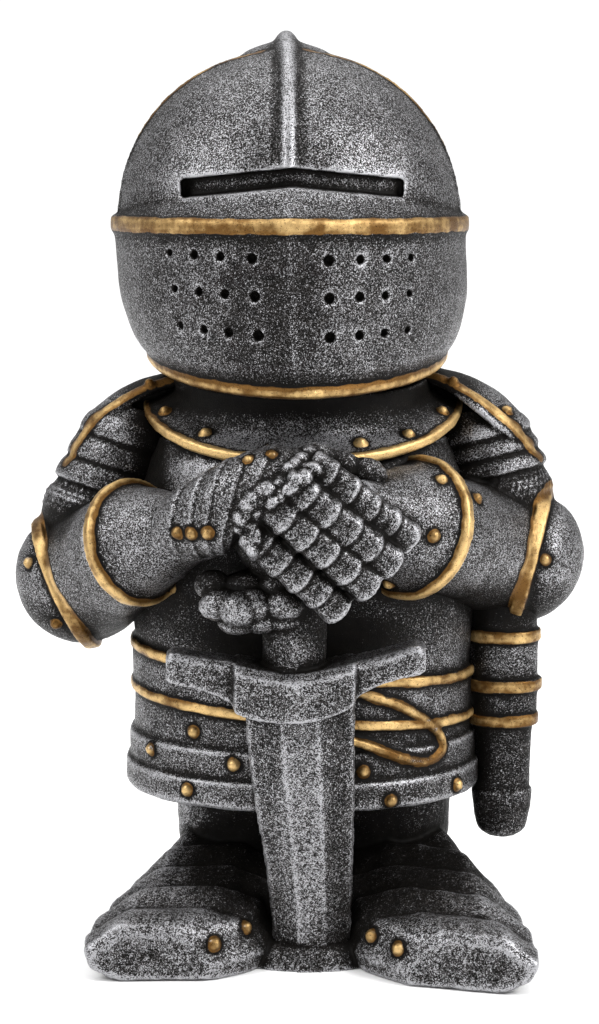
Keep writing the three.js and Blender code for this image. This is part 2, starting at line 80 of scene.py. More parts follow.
# %% Smooth rows and curves
def eased(knots, values, at):
    """A monotone cubic through the values, taken at other places."""
    width = np.diff(knots)[:, None]
    slope = np.diff(values, axis=0) / width
    before, after = slope[:-1], slope[1:]
    near, far = 2 * width[1:] + width[:-1], width[1:] + 2 * width[:-1]
    agree = before * after > 0
    safe_before, safe_after = np.where(agree, before, 1), np.where(agree, after, 1)
    inner = np.where(agree, (near + far) / (near / safe_before + far / safe_after), 0)
    slopes = np.vstack([slope[:1], inner, slope[-1:]])
    i = np.clip(np.searchsorted(knots, at, side="right") - 1, 0, len(knots) - 2)
    t = ((at - knots[i]) / np.diff(knots)[i])[:, None]
    return (values[i] * (1 + 2 * t) * (1 - t) ** 2 + slopes[i] * width[i] * t * (1 - t) ** 2
            + values[i + 1] * t * t * (3 - 2 * t) + slopes[i + 1] * width[i] * t * t * (t - 1))


def refined(rows, pace=0.7):
    """The rows with others eased in between, about a pace apart."""
    rows = np.asarray(rows, float)
    flat = rows.reshape(len(rows), -1)
    steps = np.linalg.norm(np.diff(flat[:, :3], axis=0), axis=1)
    travel = np.concatenate([[0], np.cumsum(np.maximum(steps, 1e-6))])
    at = [np.linspace(a, b, int((b - a) / pace) + 2)[:-1] for a, b in zip(travel, travel[1:])]
    at = np.concatenate(at + [travel[-1:]])
    return eased(travel, flat, at).reshape(-1, *rows.shape[1:])


def curve_through(points, per=8, closed=False):
    """A Catmull-Rom curve through the points."""
    points = np.asarray(points, float)
    if closed:
        padded = np.vstack([points[-1:], points, points[:2]])
    else:
        padded = np.vstack([2 * points[0] - points[1], points, 2 * points[-1] - points[-2]])
    t = (np.arange(per) / per)[:, None]
    spans = []
    for a, b, c, d in zip(padded, padded[1:], padded[2:], padded[3:]):
        spans.append(0.5 * (2 * b + (c - a) * t + (2 * a - 5 * b + 4 * c - d) * t ** 2
                            + (3 * b - a - 3 * c + d) * t ** 3))
    return np.vstack(spans if closed else spans + [points[-1:]])


def bend(value, power):
    return np.sign(value) * np.abs(value) ** (2 / power)


def unit(v):
    v = np.asarray(v, float)
    return v / np.linalg.norm(v, axis=-1, keepdims=True)


def soft_step(low, high, value):
    t = np.clip((value - low) / (high - low), 0, 1)
    return t * t * (3 - 2 * t)


# %% [markdown]
# Nearly every plate of the armour is a stack of sections, one above or behind the other. `loft` skins a
# stack into a closed mesh and turns its faces outwards. The meshes stay plain arrays until a whole group
# of forms is fused, because arrays are quick to bend and join.

# %% Lofted forms
def outward(points, faces):
    a, b, c = (points[faces[:, k]] for k in range(3))
    volume = np.einsum("ij,ij->", a, np.cross(b, c))
    return (points, faces) if volume > 0 else (points, faces[:, ::-1])


def loft(rings):
    rings = np.asarray(rings, float)
    count, sides, _ = rings.shape
    grid = np.arange(count * sides).reshape(count, sides)
    a, b = grid[:-1], grid[1:]
    a_next, b_next = np.roll(a, -1, 1), np.roll(b, -1, 1)
    wall = np.stack([a, a_next, b_next, a, b_next, b], -1).reshape(-1, 3)
    first, last = count * sides, count * sides + 1
    foot = np.stack([np.full(sides, first), np.roll(grid[0], -1), grid[0]], 1)
    head = np.stack([np.full(sides, last), grid[-1], np.roll(grid[-1], -1)], 1)
    points = np.vstack([rings.reshape(-1, 3), rings[0].mean(0), rings[-1].mean(0)])
    return outward(points, np.vstack([wall, foot, head]))


def joined(parts):
    starts = np.cumsum([0] + [len(points) for points, _ in parts])
    return (np.vstack([points for points, _ in parts]),
            np.vstack([faces + start for (_, faces), start in zip(parts, starts)]))


class Shell:
    """Sections [z, half width, front, back, rise, tilt] around a middle, as the plates of the body have."""

    def __init__(self, rows, x=0, y=0, lean=0, power=2, prow=0):
        self.rows = refined([list(row) + [0] * (6 - len(row)) for row in rows])
        self.x, self.y, self.lean, self.power, self.prow = x, y, lean, power, prow

    def at(self, degrees, rows, proud=0):
        """Points at angles from -X (0) by the front (90) to +X (180)."""
        angle = np.radians(degrees)
        z, half, front, back, rise, tilt = np.moveaxis(np.asarray(rows, float), -1, 0)
        across = -(half + proud) * bend(np.cos(angle), self.power)
        s = bend(np.sin(angle), self.power)
        nose = np.where(s > 0, self.prow * np.maximum(0, 1 - np.abs(across) / 22), 0)
        depth = np.where(s > 0, front, back) + proud
        return np.stack([self.x + self.lean * np.maximum(0, BROW_Z - z) + across,
                         self.y - depth * s - nose + 0 * z,
                         z + rise * (1 - np.abs(s)) + tilt * across], -1)

    def row(self, z):
        return np.array([np.interp(z, self.rows[:, 0], column) for column in self.rows.T])

    def point(self, degrees, z, proud=0):
        return self.at(np.asarray(degrees, float), self.row(z), proud)

    def across(self, distance, z, proud=0):
        """The point of the front that lies a distance across."""
        share = bend(np.asarray(distance) / self.row(z)[1], 4 / self.power)
        return self.point(180 - np.degrees(np.arccos(share)), z, proud)

    def made(self, sides=200):
        return loft(self.at(np.arange(sides) * 360 / sides, self.rows[:, None, :]))


def square_to(axis):
    """Two directions square to an axis, the first as near to the viewer's side as it can be."""
    axis = np.asarray(axis, float)
    facing = unit(np.array([0, -1, 0]) + axis * axis[1])
    return facing, np.cross(axis, facing)


def circle(centre, axis, radius, degrees, flatness=1, frame_of=None):
    u, v = frame_of if frame_of is not None else square_to(axis)
    angle = np.radians(degrees)[..., None]
    return np.asarray(centre) + radius * (np.cos(angle) * u + flatness * np.sin(angle) * v)


def turned(origin, axis, rows, sides=72):
    """A turned form on an axis, each row [distance along, radius]."""
    angles = np.arange(sides) * 360 / sides
    return loft([circle(origin + along * axis, axis, radius, angles) for along, radius in refined(rows)])


def ball(centre, radii, sides=40):
    lifts = np.radians(np.linspace(-89, 89, sides // 2))
    angle = np.arange(sides) * 2 * np.pi / sides
    rings = [np.stack([np.cos(r) * np.cos(angle), np.cos(r) * np.sin(angle), np.full(sides, np.sin(r))], 1)
             for r in lifts]
    return loft(np.asarray(centre) + np.array(rings) * radii)


# %% [markdown]
# Some steps need Blender's own tools: a cut by a plane, a Boolean, a voxel remesh or a Geometry Nodes tree.
# These helpers take arrays into a mesh object, evaluate what is on it, and bring the result back.

# %% Between arrays and Blender
def object_of(name, points, faces=(), edges=()):
    mesh = bpy.data.meshes.new(name)
    mesh.from_pydata(np.asarray(points).tolist(), np.asarray(edges).tolist(), np.asarray(faces).tolist())
    made = bpy.data.objects.new(name, mesh)
    bpy.context.scene.collection.objects.link(made)
    return made


def evaluated_mesh(holder):
    """The plain mesh of what an object's modifiers make; they are removed, and so is the object."""
    graph = bpy.context.evaluated_depsgraph_get()
    mesh = bpy.data.meshes.new_from_object(holder.evaluated_get(graph), depsgraph=graph)
    holder.modifiers.clear()
    bpy.data.objects.remove(holder)
    return mesh


def points_of(mesh):
    points = np.empty(len(mesh.vertices) * 3)
    mesh.vertices.foreach_get("co", points)
    return points.reshape(-1, 3)


def arrays_of(mesh):
    faces = np.empty(len(mesh.loop_triangles) * 3, int)
    mesh.loop_triangles.foreach_get("vertices", faces)
    return points_of(mesh), faces.reshape(-1, 3)


def cut_by_plane(part, point, normal):
    """The side of a plane that its normal points away from, closed again."""
    holder = object_of("cut", *part)
    form = bmesh.new()
    form.from_mesh(holder.data)
    bpy.data.objects.remove(holder)
    bmesh.ops.bisect_plane(form, geom=form.verts[:] + form.edges[:] + form.faces[:], plane_co=point,
                           plane_no=normal, clear_outer=True)
    rim = [edge for edge in form.edges if edge.is_boundary]
    bmesh.ops.holes_fill(form, edges=rim, sides=0)
    bmesh.ops.triangulate(form, faces=form.faces[:])
    mesh = bpy.data.meshes.new("cut")
    form.to_mesh(mesh)
    form.free()
    return arrays_of(mesh)


# %% [markdown]
# Trims, rivets, scales, mail links and breaths repeat, so Geometry Nodes make them. The first tree sweeps a
# round bar along a line: that is the rolled, gilded edge of a plate. The second puts a dome on each point:
# a rivet. The third puts copies of a shape on points that carry a turn and a size.

# %% Geometry Nodes helpers
def node(tree, kind, inputs={}, **settings):
    """A node with its settings; each input takes a value or another node's socket."""
    made = tree.nodes.new(kind)
    for name, value in settings.items():
        setattr(made, name, value)
    for key, value in inputs.items():
        if isinstance(value, bpy.types.NodeSocket):
            tree.links.new(value, made.inputs[key])
        else:
            made.inputs[key].default_value = value
    return made


def geometry_tree(name, sizes):
    """A tree with a geometry input and output, and a named input for each size."""
    tree = bpy.data.node_groups.new(name, "GeometryNodeTree")
    tree.interface.new_socket("Geometry", in_out="OUTPUT", socket_type="NodeSocketGeometry")
    tree.interface.new_socket("Geometry", in_out="INPUT", socket_type="NodeSocketGeometry")
    for label, kind in {**sizes, "Finish": "NodeSocketMaterial"}.items():
        tree.interface.new_socket(label, in_out="INPUT", socket_type=kind)
    return tree, tree.nodes.new("NodeGroupInput").outputs


def end_tree(tree, sizes, geometry):
    real = node(tree, "GeometryNodeRealizeInstances", {0: geometry})
    finish = node(tree, "GeometryNodeSetMaterial", {"Geometry": real.outputs[0], "Material": sizes["Finish"]})
    node(tree, "NodeGroupOutput", {0: finish.outputs[0]})
    return tree


# %% The three trees
def rolled_edge_tree():
    tree, sizes = geometry_tree("rolled_edge", {"Radius": "NodeSocketFloat", "Sides": "NodeSocketInt"})
    line = node(tree, "GeometryNodeMeshToCurve", {0: sizes["Geometry"]})
    ring = node(tree, "GeometryNodeCurvePrimitiveCircle", {"Resolution": sizes["Sides"],
                                                           "Radius": sizes["Radius"]})
    bar = node(tree, "GeometryNodeCurveToMesh", {0: line.outputs[0], 1: ring.outputs[0], "Fill Caps": True})
    return end_tree(tree, sizes, bar.outputs[0])


def rivet_tree():
    tree, sizes = geometry_tree("rivets", {"Radius": "NodeSocketFloat", "Sides": "NodeSocketInt"})
    dome = node(tree, "GeometryNodeMeshUVSphere", {"Segments": sizes["Sides"], "Rings": 8,
                                                   "Radius": sizes["Radius"]})
    copies = node(tree, "GeometryNodeInstanceOnPoints", {"Points": sizes["Geometry"],
                                                         "Instance": dome.outputs[0]})
    return end_tree(tree, sizes, copies.outputs[0])


def repeated_shape_tree():
    tree, sizes = geometry_tree("repeated_shape", {"Shape": "NodeSocketObject", "Size": "NodeSocketFloat"})
    shape = node(tree, "GeometryNodeObjectInfo", {"Object": sizes["Shape"]})
    turn = node(tree, "GeometryNodeInputNamedAttribute", {"Name": "turn"}, data_type="FLOAT_VECTOR")
    stretch = node(tree, "GeometryNodeInputNamedAttribute", {"Name": "stretch"}, data_type="FLOAT_VECTOR")
    rotation = node(tree, "FunctionNodeEulerToRotation", {0: turn.outputs[0]})
    scale = node(tree, "ShaderNodeVectorMath", {0: stretch.outputs[0], "Scale": sizes["Size"]},
                 operation="SCALE")
    copies = node(tree, "GeometryNodeInstanceOnPoints", {
        "Points": sizes["Geometry"], "Instance": shape.outputs["Geometry"],
        "Rotation": rotation.outputs[0], "Scale": scale.outputs[0]})
    return end_tree(tree, sizes, copies.outputs[0])


ROLLED_EDGE = rolled_edge_tree()
RIVETS = rivet_tree()
REPEATED_SHAPE = repeated_shape_tree()
# The casting's one material: its paint, with painted shade and painted highlights in it.
antiqued_silver_and_painted_light = bpy.data.materials.new("antiqued_silver_and_painted_light")


def grown(tree, holder, sizes):
    """What a tree makes of an object, as plain arrays."""
    modifier = holder.modifiers.new(tree.name, "NODES")
    modifier.node_group = tree
    inputs = [item for item in tree.interface.items_tree if item.in_out == "INPUT"]
    for item in inputs:
        if item.name in sizes:
            modifier[item.identifier] = sizes[item.name]
        elif item.name == "Finish":
            modifier[item.identifier] = antiqued_silver_and_painted_light
    return arrays_of(evaluated_mesh(holder))


def rolled_edge(points, radius, closed=False):
    count = len(points)
    edges = [(i, (i + 1) % count) for i in range(count if closed else count - 1)]
    return grown(ROLLED_EDGE, object_of("rolled_edge", points, edges=edges), {"Radius": radius, "Sides": 14})


def rivets(points, radius):
    return grown(RIVETS, object_of("rivets", points), {"Radius": radius, "Sides": 16})


def repeated(shape, points, turns, stretches, size=1.0):
    """Copies of a part; a turn is three angles, a stretch three factors."""
    pattern = object_of("pattern", *shape)
    places = object_of("places", points)
    for name, values in (("turn", turns), ("stretch", stretches)):
        attribute = places.data.attributes.new(name, "FLOAT_VECTOR", "POINT")
        attribute.data.foreach_set("vector", np.asarray(values, float).ravel())
    made = grown(REPEATED_SHAPE, places, {"Shape": pattern, "Size": size})
    bpy.data.objects.remove(pattern)
    return made


def turn_of(across, along, out):
    """The three angles that lay a shape's X, Y and Z on these directions."""
    return Matrix(np.array([across, along, out]).T.tolist()).to_euler()


# %% [markdown]
# The gilding is paint on the rolled edges and rivets. While each form is drawn, the middle line of its
# gilding is kept with a half width. Later every point of the fused mesh learns how far it lies from the
# nearest such line, and the material paints gold up to that distance, with a brush's uneven edge.

# %% Where the gilding runs
gilding = {}


def gild(group, points, half_width):
    """Adds a line or a spot of paint; the half width is one number or one for each point."""
    points = np.atleast_2d(points)
    rows = np.column_stack([points, np.broadcast_to(half_width, len(points))])
    gilding.setdefault(group, []).append(refined(rows, 0.5) if len(rows) > 1 else rows)


def studs(group, points, radius):
    for point in points:
        gild(group, point, radius + 0.25)
    return rivets(points, radius)


def seated(parts, places):
    """Points on the front of some forms, each over its place across and its height."""
    front = BVHTree.FromPolygons(*(column.tolist() for column in joined(parts)))
    hits = [front.ray_cast(Vector((x, -150, z)), Vector((0, 1, 0)))[0] for x, z in places]
    return np.array([list(hit) for hit in hits])


# %% [markdown]
# ## Helmet
#
# The skull is a dome with a superellipse profile over a nape that narrows to the neck. A primitive sphere
# would be too round, so the rows come from the profile's formula. The upper visor is the same dome a
# little proud, cut by a leaning plane, and its edge carries a thin gilded roll.

# %% Dome, visors and nape
def dome_rows(lifts, proud):
    up = np.sin(np.radians(lifts))
    share = (1 - up ** SKULL["power"]) ** (1 / SKULL["power"])
    depth = (SKULL["depth"] + proud) * share
    return np.stack([BROW_Z + (SKULL["rise"] + proud) * up, (SKULL["half"] + proud) * share, depth, depth], -1)


LIFTS = np.linspace(0, 89.4, 60)
NAPE = [[157, 35, 31, 34], [164.6, 37, 34, 38], [165.2, 40, 38, 43.6], [168, 40.6, 39, 44.4],
        [168.8, 40.8, 38.6, 43.4], [182, 45.8, 45, 47.8], [195, 47.9, 48, 49.2]]
skull = Shell([*NAPE, *dome_rows(LIFTS, 0)], x=HEAD_X, lean=0.05)
upper_visor = Shell(dome_rows(LIFTS, PLATE), x=HEAD_X)
lower_visor = Shell([
    [CHIN_Z - 0.3, 32, 38, 32, 7.4], [CHIN_Z, 40.8, 49.4, 40, 7.4], [CHIN_Z + 0.7, 42.6, 51.2, 41, 7.4],
    [CHIN_Z + 2.2, 43.4, 51.6, 41, 7.4], [CHIN_Z + 2.9, 43.2, 50.8, 41, 7.3], [168.4, 46, 53, 43, 6.6],
    [176, 48.2, 55, 44, 5], [185, 49.7, 56.3, 45, 3], [204, 50.2, 56.8, 46], [204.5, 50.9, 57.9, 46.5],
    [206.6, 51.1, 58.1, 46.5], [208.4, 50.9, 57.7, 46.5], [209.2, 49.4, 56.2, 46], [212, 47.8, 53, 45],
    [215, 46.2, 50.6, 44], [218.4, 43, 47, 42],
], x=HEAD_X + 0.1, lean=0.05, prow=2.8)

HINGE = {"y": -11.8, "lean": -0.07}
upper_plate = cut_by_plane(upper_visor.made(), (0, HINGE["y"], BROW_Z), (0, 1, -HINGE["lean"]))
lower_plate = cut_by_plane(lower_visor.made(), (0, 4, 190), (0, 1, 0))


def hinge_line():
    """The upper visor's back edge, from one temple over the dome to the other."""
    angle = np.radians(np.linspace(4, 176, 90))
    across, up = np.cos(angle), np.sin(angle)
    y = HINGE["y"] + HINGE["lean"] * SKULL["rise"] * up
    share = np.sqrt(1 - (y / SKULL["depth"]) ** 2) + 0.018
    return np.stack([HEAD_X - SKULL["half"] * bend(across, SKULL["power"]) * share, y,
                     BROW_Z + SKULL["rise"] * bend(up, SKULL["power"]) * share], 1)


visor_edge = rolled_edge(hinge_line(), 0.85)
gild("helmet", hinge_line(), 1.2 * soft_step(214, 243, hinge_line()[:, 2]))
gild("helmet", lower_visor.point(np.linspace(-2, 182, 200), 206.7), 2.15)
gild("helmet", lower_visor.point(np.linspace(-2, 182, 200), CHIN_Z + 1.5), 1.9)
pivots = [ball((HEAD_X + side * 48.4, 9, 205), (2.6, 5, 5)) for side in (-1, 1)]
print("visor plates:", len(upper_plate[1]), "and", len(lower_plate[1]), "triangles")

# %% [markdown]
# A ridge runs over the dome from the eye slot to the nape and swells to a crest on top. It is a loft whose
# sections ride on the dome's profile, because a swept curve could not change its height on the way.

# %% Ridge, crest and the grooves beside them
KEEL = {"half": 2.7, "height": 1.9, "root": 1.6}
CREST = {"angle": 86, "spread": 20, "half": 0.7, "height": 0.7, "flare": 1.6, "skirt": 9.5, "shift": -0.9}


def on_dome(degrees, proud=PLATE):
    """The middle line of the dome's front and back at an angle from the front, and the way out there."""
    out, up = math.cos(math.radians(degrees)), math.sin(math.radians(degrees))
    z, _, depth, _ = dome_rows(np.array(min(degrees, 180 - degrees)), proud)
    return np.array([HEAD_X, -math.copysign(1, out) * depth, z]), out, up


def ridge():
    across = np.linspace(-1, 1, 41)
    rings = []
    for degrees in np.linspace(14.7, 180, 170):
        crest = math.exp(-(((degrees - CREST["angle"]) / CREST["spread"]) ** 2))
        foot, out, up = on_dome(degrees)
        foot[0] += CREST["shift"] * crest
        half = KEEL["half"] + CREST["half"] * crest
        reach = half + 0.4 + CREST["skirt"] * crest
        height = KEEL["height"] * min(1, (183 - degrees) / 40) + CREST["height"] * crest
        bar = height * np.maximum(0, 1 - np.abs(across * reach / half) ** 2.4)
        flare = CREST["flare"] * crest * np.exp(-((across / 0.55) ** 2))
        fall = SKULL["half"] - np.sqrt(SKULL["half"] ** 2 - (across * reach) ** 2)
        lift = bar + flare - fall - KEEL["root"] * across ** 8
        rings.append(foot + np.stack([across * reach, -out * lift, up * lift], 1))
    return loft(rings)


def grooves():
    """Shallow lines on both sides of the ridge, as a modelling tool leaves them."""
    lines = []
    for side in (-4.4, 4.4):
        line = []
        for degrees in np.linspace(19, 66, 40):
            place, out, up = on_dome(degrees, PLATE + 0.5)
            line.append(place + [side, 0, 0])
        lines.append(rolled_edge(line, 0.9))
    return lines


# %% [markdown]
# The eye slot and the 24 breaths are cut out. The breaths are one pit shape, repeated by Geometry Nodes on
# the points where the columns and rows meet the curved visor; a drawn texture would have no real depth.

# %% Eye slot and breaths
SLOT = {"half": 30, "top": 221.9, "droop": 0.1}
BREATHS = {"levels": [198.2, 188.2, 177.8], "columns": [10.2, 18.6, 25.8, 32.6], "taper": 0.03,
           "sizes": [1.12, 1.0, 0.92, 0.78], "slope": 0.045}


def eye_slot():
    outline = np.array([[-16, 1], [-16, -6], [-2, -5.2], [5, -4.7], [5, 0], [-2, 0.1]])
    rings = []
    for across in np.linspace(-SLOT["half"], SLOT["half"], 50):
        share = math.sqrt(1 - (across / (SKULL["half"] + PLATE)) ** 2)
        y = -(SKULL["depth"] + PLATE) * share + outline[:, 0]
        z = SLOT["top"] - SLOT["droop"] * abs(across) + outline[:, 1]
        rings.append(np.stack([np.full(6, HEAD_X + 1 + across), y, z], 1))
    return loft(rings)


def breaths():
    mouths, stretches = [], []
    for side in (-1, 1):
        for row, z in enumerate(BREATHS["levels"]):
            for column, size in zip(BREATHS["columns"], BREATHS["sizes"]):
                slope = BREATHS["slope"] * (column - 18) * (1 if side < 0 else 0.3)
                at = column * (1 - BREATHS["taper"] * row)
                mouths.append(lower_visor.across(side * at, z - 0.4 * side + slope))
                stretches.append([1, size, size])
    mouths = np.array(mouths)
    inward = np.stack([HEAD_X - mouths[:, 0], -mouths[:, 1], 0 * mouths[:, 0]], 1)
    turns = [(0, 0, math.atan2(y, x)) for x, y, _ in inward]
    pit = ball((0, 0, 0), (2.7, 1.35, 1.35), 16)
    return repeated(pit, mouths, turns, stretches)


helmet = {"parts": [skull.made(), upper_plate, lower_plate, ridge(), visor_edge, *pivots],
          "cuts": [eye_slot(), breaths(), *grooves()]}
print("helmet forms:", len(helmet["parts"]), "and", len(helmet["cuts"]), "cutters")

# %% [markdown]
# ## Body
#
# The trunk is one stack of sections: skirt lames that overlap downwards, the belt with its two rolled
# edges, and the chest. The collar is a second stack that rises towards the shoulders. Rivets sit on the
# plates at angles read from the front.

# %% Trunk, collar and rivets
def belt_row(offset, proud):
    return [BELT["z"] + offset, 49.1 + proud, 39.8 + proud, 38 + proud, 0, BELT["tilt"]]


HALF = BELT["half"]
trunk = Shell([
    [HEM_Z - 0.3, 44, 34, 33], [HEM_Z, 50.6, 40.8, 39.2], [HEM_Z + 1.4, 51.8, 41.8, 40],
    [52, 51.8, 41.7, 40], [52.3, 50.8, 40.4, 38.8], [60.2, 50.6, 40.2, 38.5], [60.5, 49.6, 39.2, 37.4],
    belt_row(-HALF - 1.6, 0), belt_row(-HALF - 1, ROLL), belt_row(-HALF + 1, ROLL),
    belt_row(-HALF + 1.6, 0.6), belt_row(HALF - 1.6, 0.6), belt_row(HALF - 1, ROLL),
    belt_row(HALF + 1, ROLL), belt_row(HALF + 1.6, 0), [100, 49.8, 40.2, 38.6], [122, 49.6, 41, 39],
    [136, 46.3, 40.6, 38.4], [146, 42, 38, 35]], x=BODY_X, power=2.15)
collar = Shell([
    [COLLAR_Z - 1.8, 38, 34, 32, 13.4], [COLLAR_Z - 1.4, 44.6, 41, 38.6, 13.4],
    [COLLAR_Z - 0.6, 46, 42.6, 40, 13.4], [COLLAR_Z + 1.2, 46, 42.6, 40, 13.4],
    [COLLAR_Z + 2, 44.6, 41, 38.4, 13], [151.6, 36.6, 34.6, 34.4, 9.6], [160, 36, 35, 36, 3]],
    x=BODY_X, power=2.1)
RIVET = 1.75
ALL_ROUND = np.linspace(0, 360, 300)
for offset in (-HALF, HALF):
    gild("body", trunk.point(ALL_ROUND, BELT["z"] + offset), 1.45)
gild("body", collar.point(ALL_ROUND, COLLAR_Z + 0.3), 2.1)
COLLAR_RIVETS = [[-38, 153.7], [-26, 149.1], [-8.6, 145.4], [16.8, 147], [30.3, 148.7], [40.4, 153.7]]
SKIRT_RIVETS = [[-29.8, 64], [-42.1, 58], [-18.4, 57.2], [-31.5, 48.9], [17.8, 55.4], [25.6, 46.7], [44.9, 47.9]]
collar_rivets = [*seated([collar.made()], COLLAR_RIVETS)]
skirt_rivets = [trunk.across(x - BODY_X, z) for x, z in SKIRT_RIVETS]
back_rivets = [*collar.point([225, 270, 315], COLLAR_Z + 5.4), *trunk.point([205, 240, 300, 335], HEM_Z + 4)]
body_rivets = studs("body", np.array(collar_rivets + skirt_rivets + back_rivets), RIVET)

# %% [markdown]
# The free end of the belt is a tongue with a gilded roll round it. Its outline lies on the belt's curved
# surface, so it is drawn flat, laid on the shell, and given a little thickness.

# %% Belt tongue
def belt_tongue():
    outline = curve_through([[8, 78.5], [22, 75.4], [31, 70.4], [37.6, 64], [38.6, 58.8], [34, 56.4],
                             [28, 58], [20, 61.7], [8, 67.5]], closed=True)
    backing = Shell([[40, 48.8, 39.8, 38], [90, 48.8, 39.8, 38]], x=BODY_X, power=2.15)
    plate = [[backing.across(x, z, proud) for x, z in outline] for proud in (-4, 0.8)]
    edge = np.array([backing.across(x, z, 0.8) for x, z in outline])
    gild("body", np.vstack([edge, edge[:1]]), 1.5)
    return [loft(plate), rolled_edge(edge, ROLL, closed=True)]


body = {"parts": [trunk.made(240), collar.made(200), body_rivets, *belt_tongue()]}

# %% [markdown]
# ## Legs and feet
#
# The legs are short and stand on broad sabatons, which are shoes of overlapping lames. Each foot is a loft
# of sections from heel to toe; where a lame ends, two sections lie close together and make a step.

# %% Legs, sabatons and the ground between them
FOOT = [[25, 9, 25, 29, 10], [21, 4, 28, 36, 20], [8, 3, 32, 40.6, 31], [-4, 3, 36.5, 46.2, 31],
        [-14, 4, 40.2, 51.2, 27.4], [-14.4, 3.6, 40.8, 51.8, 28], [-25, 6, 43.8, 56.2, 24],
        [-25.4, 5.6, 44.4, 56.8, 24.6], [-36, 9, 46.8, 60, 21.2], [-36.4, 8.6, 47.4, 60.6, 21.8],
        [-46, 13.4, 50.4, 62.4, 18], [-46.4, 13.6, 50.8, 62.6, 18.3], [-54.4, 24, 53, 62.4, 16],
        [-56.2, 27.5, 52, 60, 13.6]]
FEET = [{"side": -1, "reach": 0.975, "splay": 0.02, "broad": -1.4},
        {"side": 1, "reach": 1.09, "splay": 0.26, "broad": 2.8}]
FOOT_RIVETS = [[-23.6, 10.1], [-14.9, 12.5], [20.1, 10.8], [27.2, 9.7]]


def bevelled(outline, share=0.13):
    """The outline with each corner eased by three points."""
    outline = np.array(outline, float)
    before, after = np.roll(outline, 1, 0), np.roll(outline, -1, 0)
    near, far = outline + share * (before - outline), outline + share * (after - outline)
    return np.stack([near, (near + far) / 4 + outline / 2, far], 1).reshape(-1, outline.shape[1])


def foot(side, reach, splay, broad):
    def place(y, across, z):
        return [FEET_X + side * across, y * reach - splay * (across - 36), z]

    rings = []
    for y, inner, ridge_in, outside, height in FOOT:
        more = broad * min(1, max(0, (y + 50) / 30))
        top, outer = ridge_in + more, outside + more
        tuck = 4 + 5 * min(1, max(0, (-25 - y) / 20))
        outline = [[inner + 1, 0], [inner - 1, 0.3], [inner + 5, 0.8], [(inner + top) / 2 - 2, 1], [top, 0.97],
                   [outer, 0.56], [outer - tuck / 4, 0.22], [outer - tuck, 0]]
        rings.append(bevelled([place(y, across, share * height) for across, share in outline]))
    rings[-1][:, 2] = np.maximum(rings[-1][:, 2], 0.9)
    return loft(refined(rings, 0.8))


def legs():
    greave = [[5, 15, 15, 17], [30, 19.3, 17.4, 17.6], [HEM_Z + 2, 19.8, 20, 19]]
    greaves = [Shell(greave, x=FEET_X + 1.6 + side * 21, y=5).made(100) for side in (-1, 1)]
    mound = Shell([[0, 32, 33, 20], [2.6, 32, 32.6, 19], [6, 29, 30.4, 17], [8.2, 22, 24, 13]], x=FEET_X, y=-14)
    crotch = Shell([[6, 10, 14, 8], [HEM_Z + 2, 12, 16, 9]], x=FEET_X, y=6)
    return [crotch.made(80), mound.made(120), *greaves]


soles = [foot(**measures) for measures in FEET]
feet = {"parts": [*legs(), *soles, studs("legs", seated(soles, FOOT_RIVETS), 1.9)]}

# %% [markdown]
# ## Sword and dagger
#
# The sword stands with its tip between the feet. Its blade has a middle ridge and bevelled edges, and its
# guard drops to a V in the middle, so both are lofts of sharp outlines. The dagger hangs at the left hip in
# a sheath with gilded bands.

# %% Sword
SWORD_Y = {"tip": -37, "guard": -50}
BLADE = [[-1, -0.5], [-0.94, -2.2], [-0.4, -4.9], [-0.33, -5.5], [0.33, -5.5], [0.4, -4.9], [0.94, -2.2],
         [1, -0.5], [0, 6]]
GUARD = np.array([[-0.9, 0], [0.9, 0], [1, 0.5], [0.8, 1], [-0.8, 1], [-1, 0.85]])


def sword():
    blade = []
    for z, x, half in refined([[5, 3.6, 10.8], [26, 2.8, 12], [45, 1.7, 13.6], [66, 0.4, 14.9],
                               [82, -0.2, 15.4]]):
        y = SWORD_Y["tip"] + (SWORD_Y["guard"] - SWORD_Y["tip"]) * z / 80
        blade.append([[x + across * half, y + depth, z] for across, depth in BLADE])
    rows = refined([[-36.2, 84.6, 91.2, 4.6], [-34.5, 83.8, 92.2, 5.6], [-27, 82, 91, 6],
                    [-18.4, 78.2, 89.8, 6.6], [-17.2, 76.2, 89.6, 9.6], [-2.2, 73.8, 87.2, 11.4],
                    [14.6, 78.4, 89.8, 9.6], [15.8, 80.2, 90, 6.6], [25.5, 84.6, 92.4, 6.2],
                    [32, 86.2, 94.2, 5.8], [34.2, 87, 93.4, 4.8]])
    guard = [np.stack([np.full(6, x), SWORD_Y["guard"] + GUARD[:, 0] * depth,
                       low + (high - low) * GUARD[:, 1]], 1) for x, low, high, depth in rows]
    grip = turned(np.array([-1.4, -48.5, 80]), np.array([0, 0, 1]), [[0, 8.2], [20, 8.8], [36, 8.4]])
    return [loft(blade), loft(guard), grip]


# %% Dagger
def dagger():
    sheath = Shell([
        [28.3, 4, 4, 4], [30.5, 6.8, 6, 6], [42, 8.8, 7, 7], [42.8, 8.1, 6.6, 6.6], [61.5, 8.8, 7, 7],
        [62, 10.3, 8.4, 8.4], [64.8, 10.5, 8.6, 8.6], [65.3, 9.8, 8, 8], [71.8, 10.3, 8.2, 8.2],
        [72.2, 11.3, 9.4, 9.4], [75.4, 11.3, 9.4, 9.4], [75.8, 10, 8, 8], [86.4, 10.1, 8.2, 8.2],
        [86.8, 10.8, 9, 9], [89.6, 10.8, 9, 9], [90, 9.8, 8, 8], [98, 9.8, 8, 8]], x=59.3, y=-5)
    for z in (63.4, 73.8, 88.2):
        gild("dagger", sheath.point(ALL_ROUND, z), 1.7)
    hanger = turned(np.array([42, -3, 69]), np.array([1, 0, 0]), [[0, 6], [16, 6]])
    return [sheath.made(100), hanger]


hip = {"parts": dagger()}

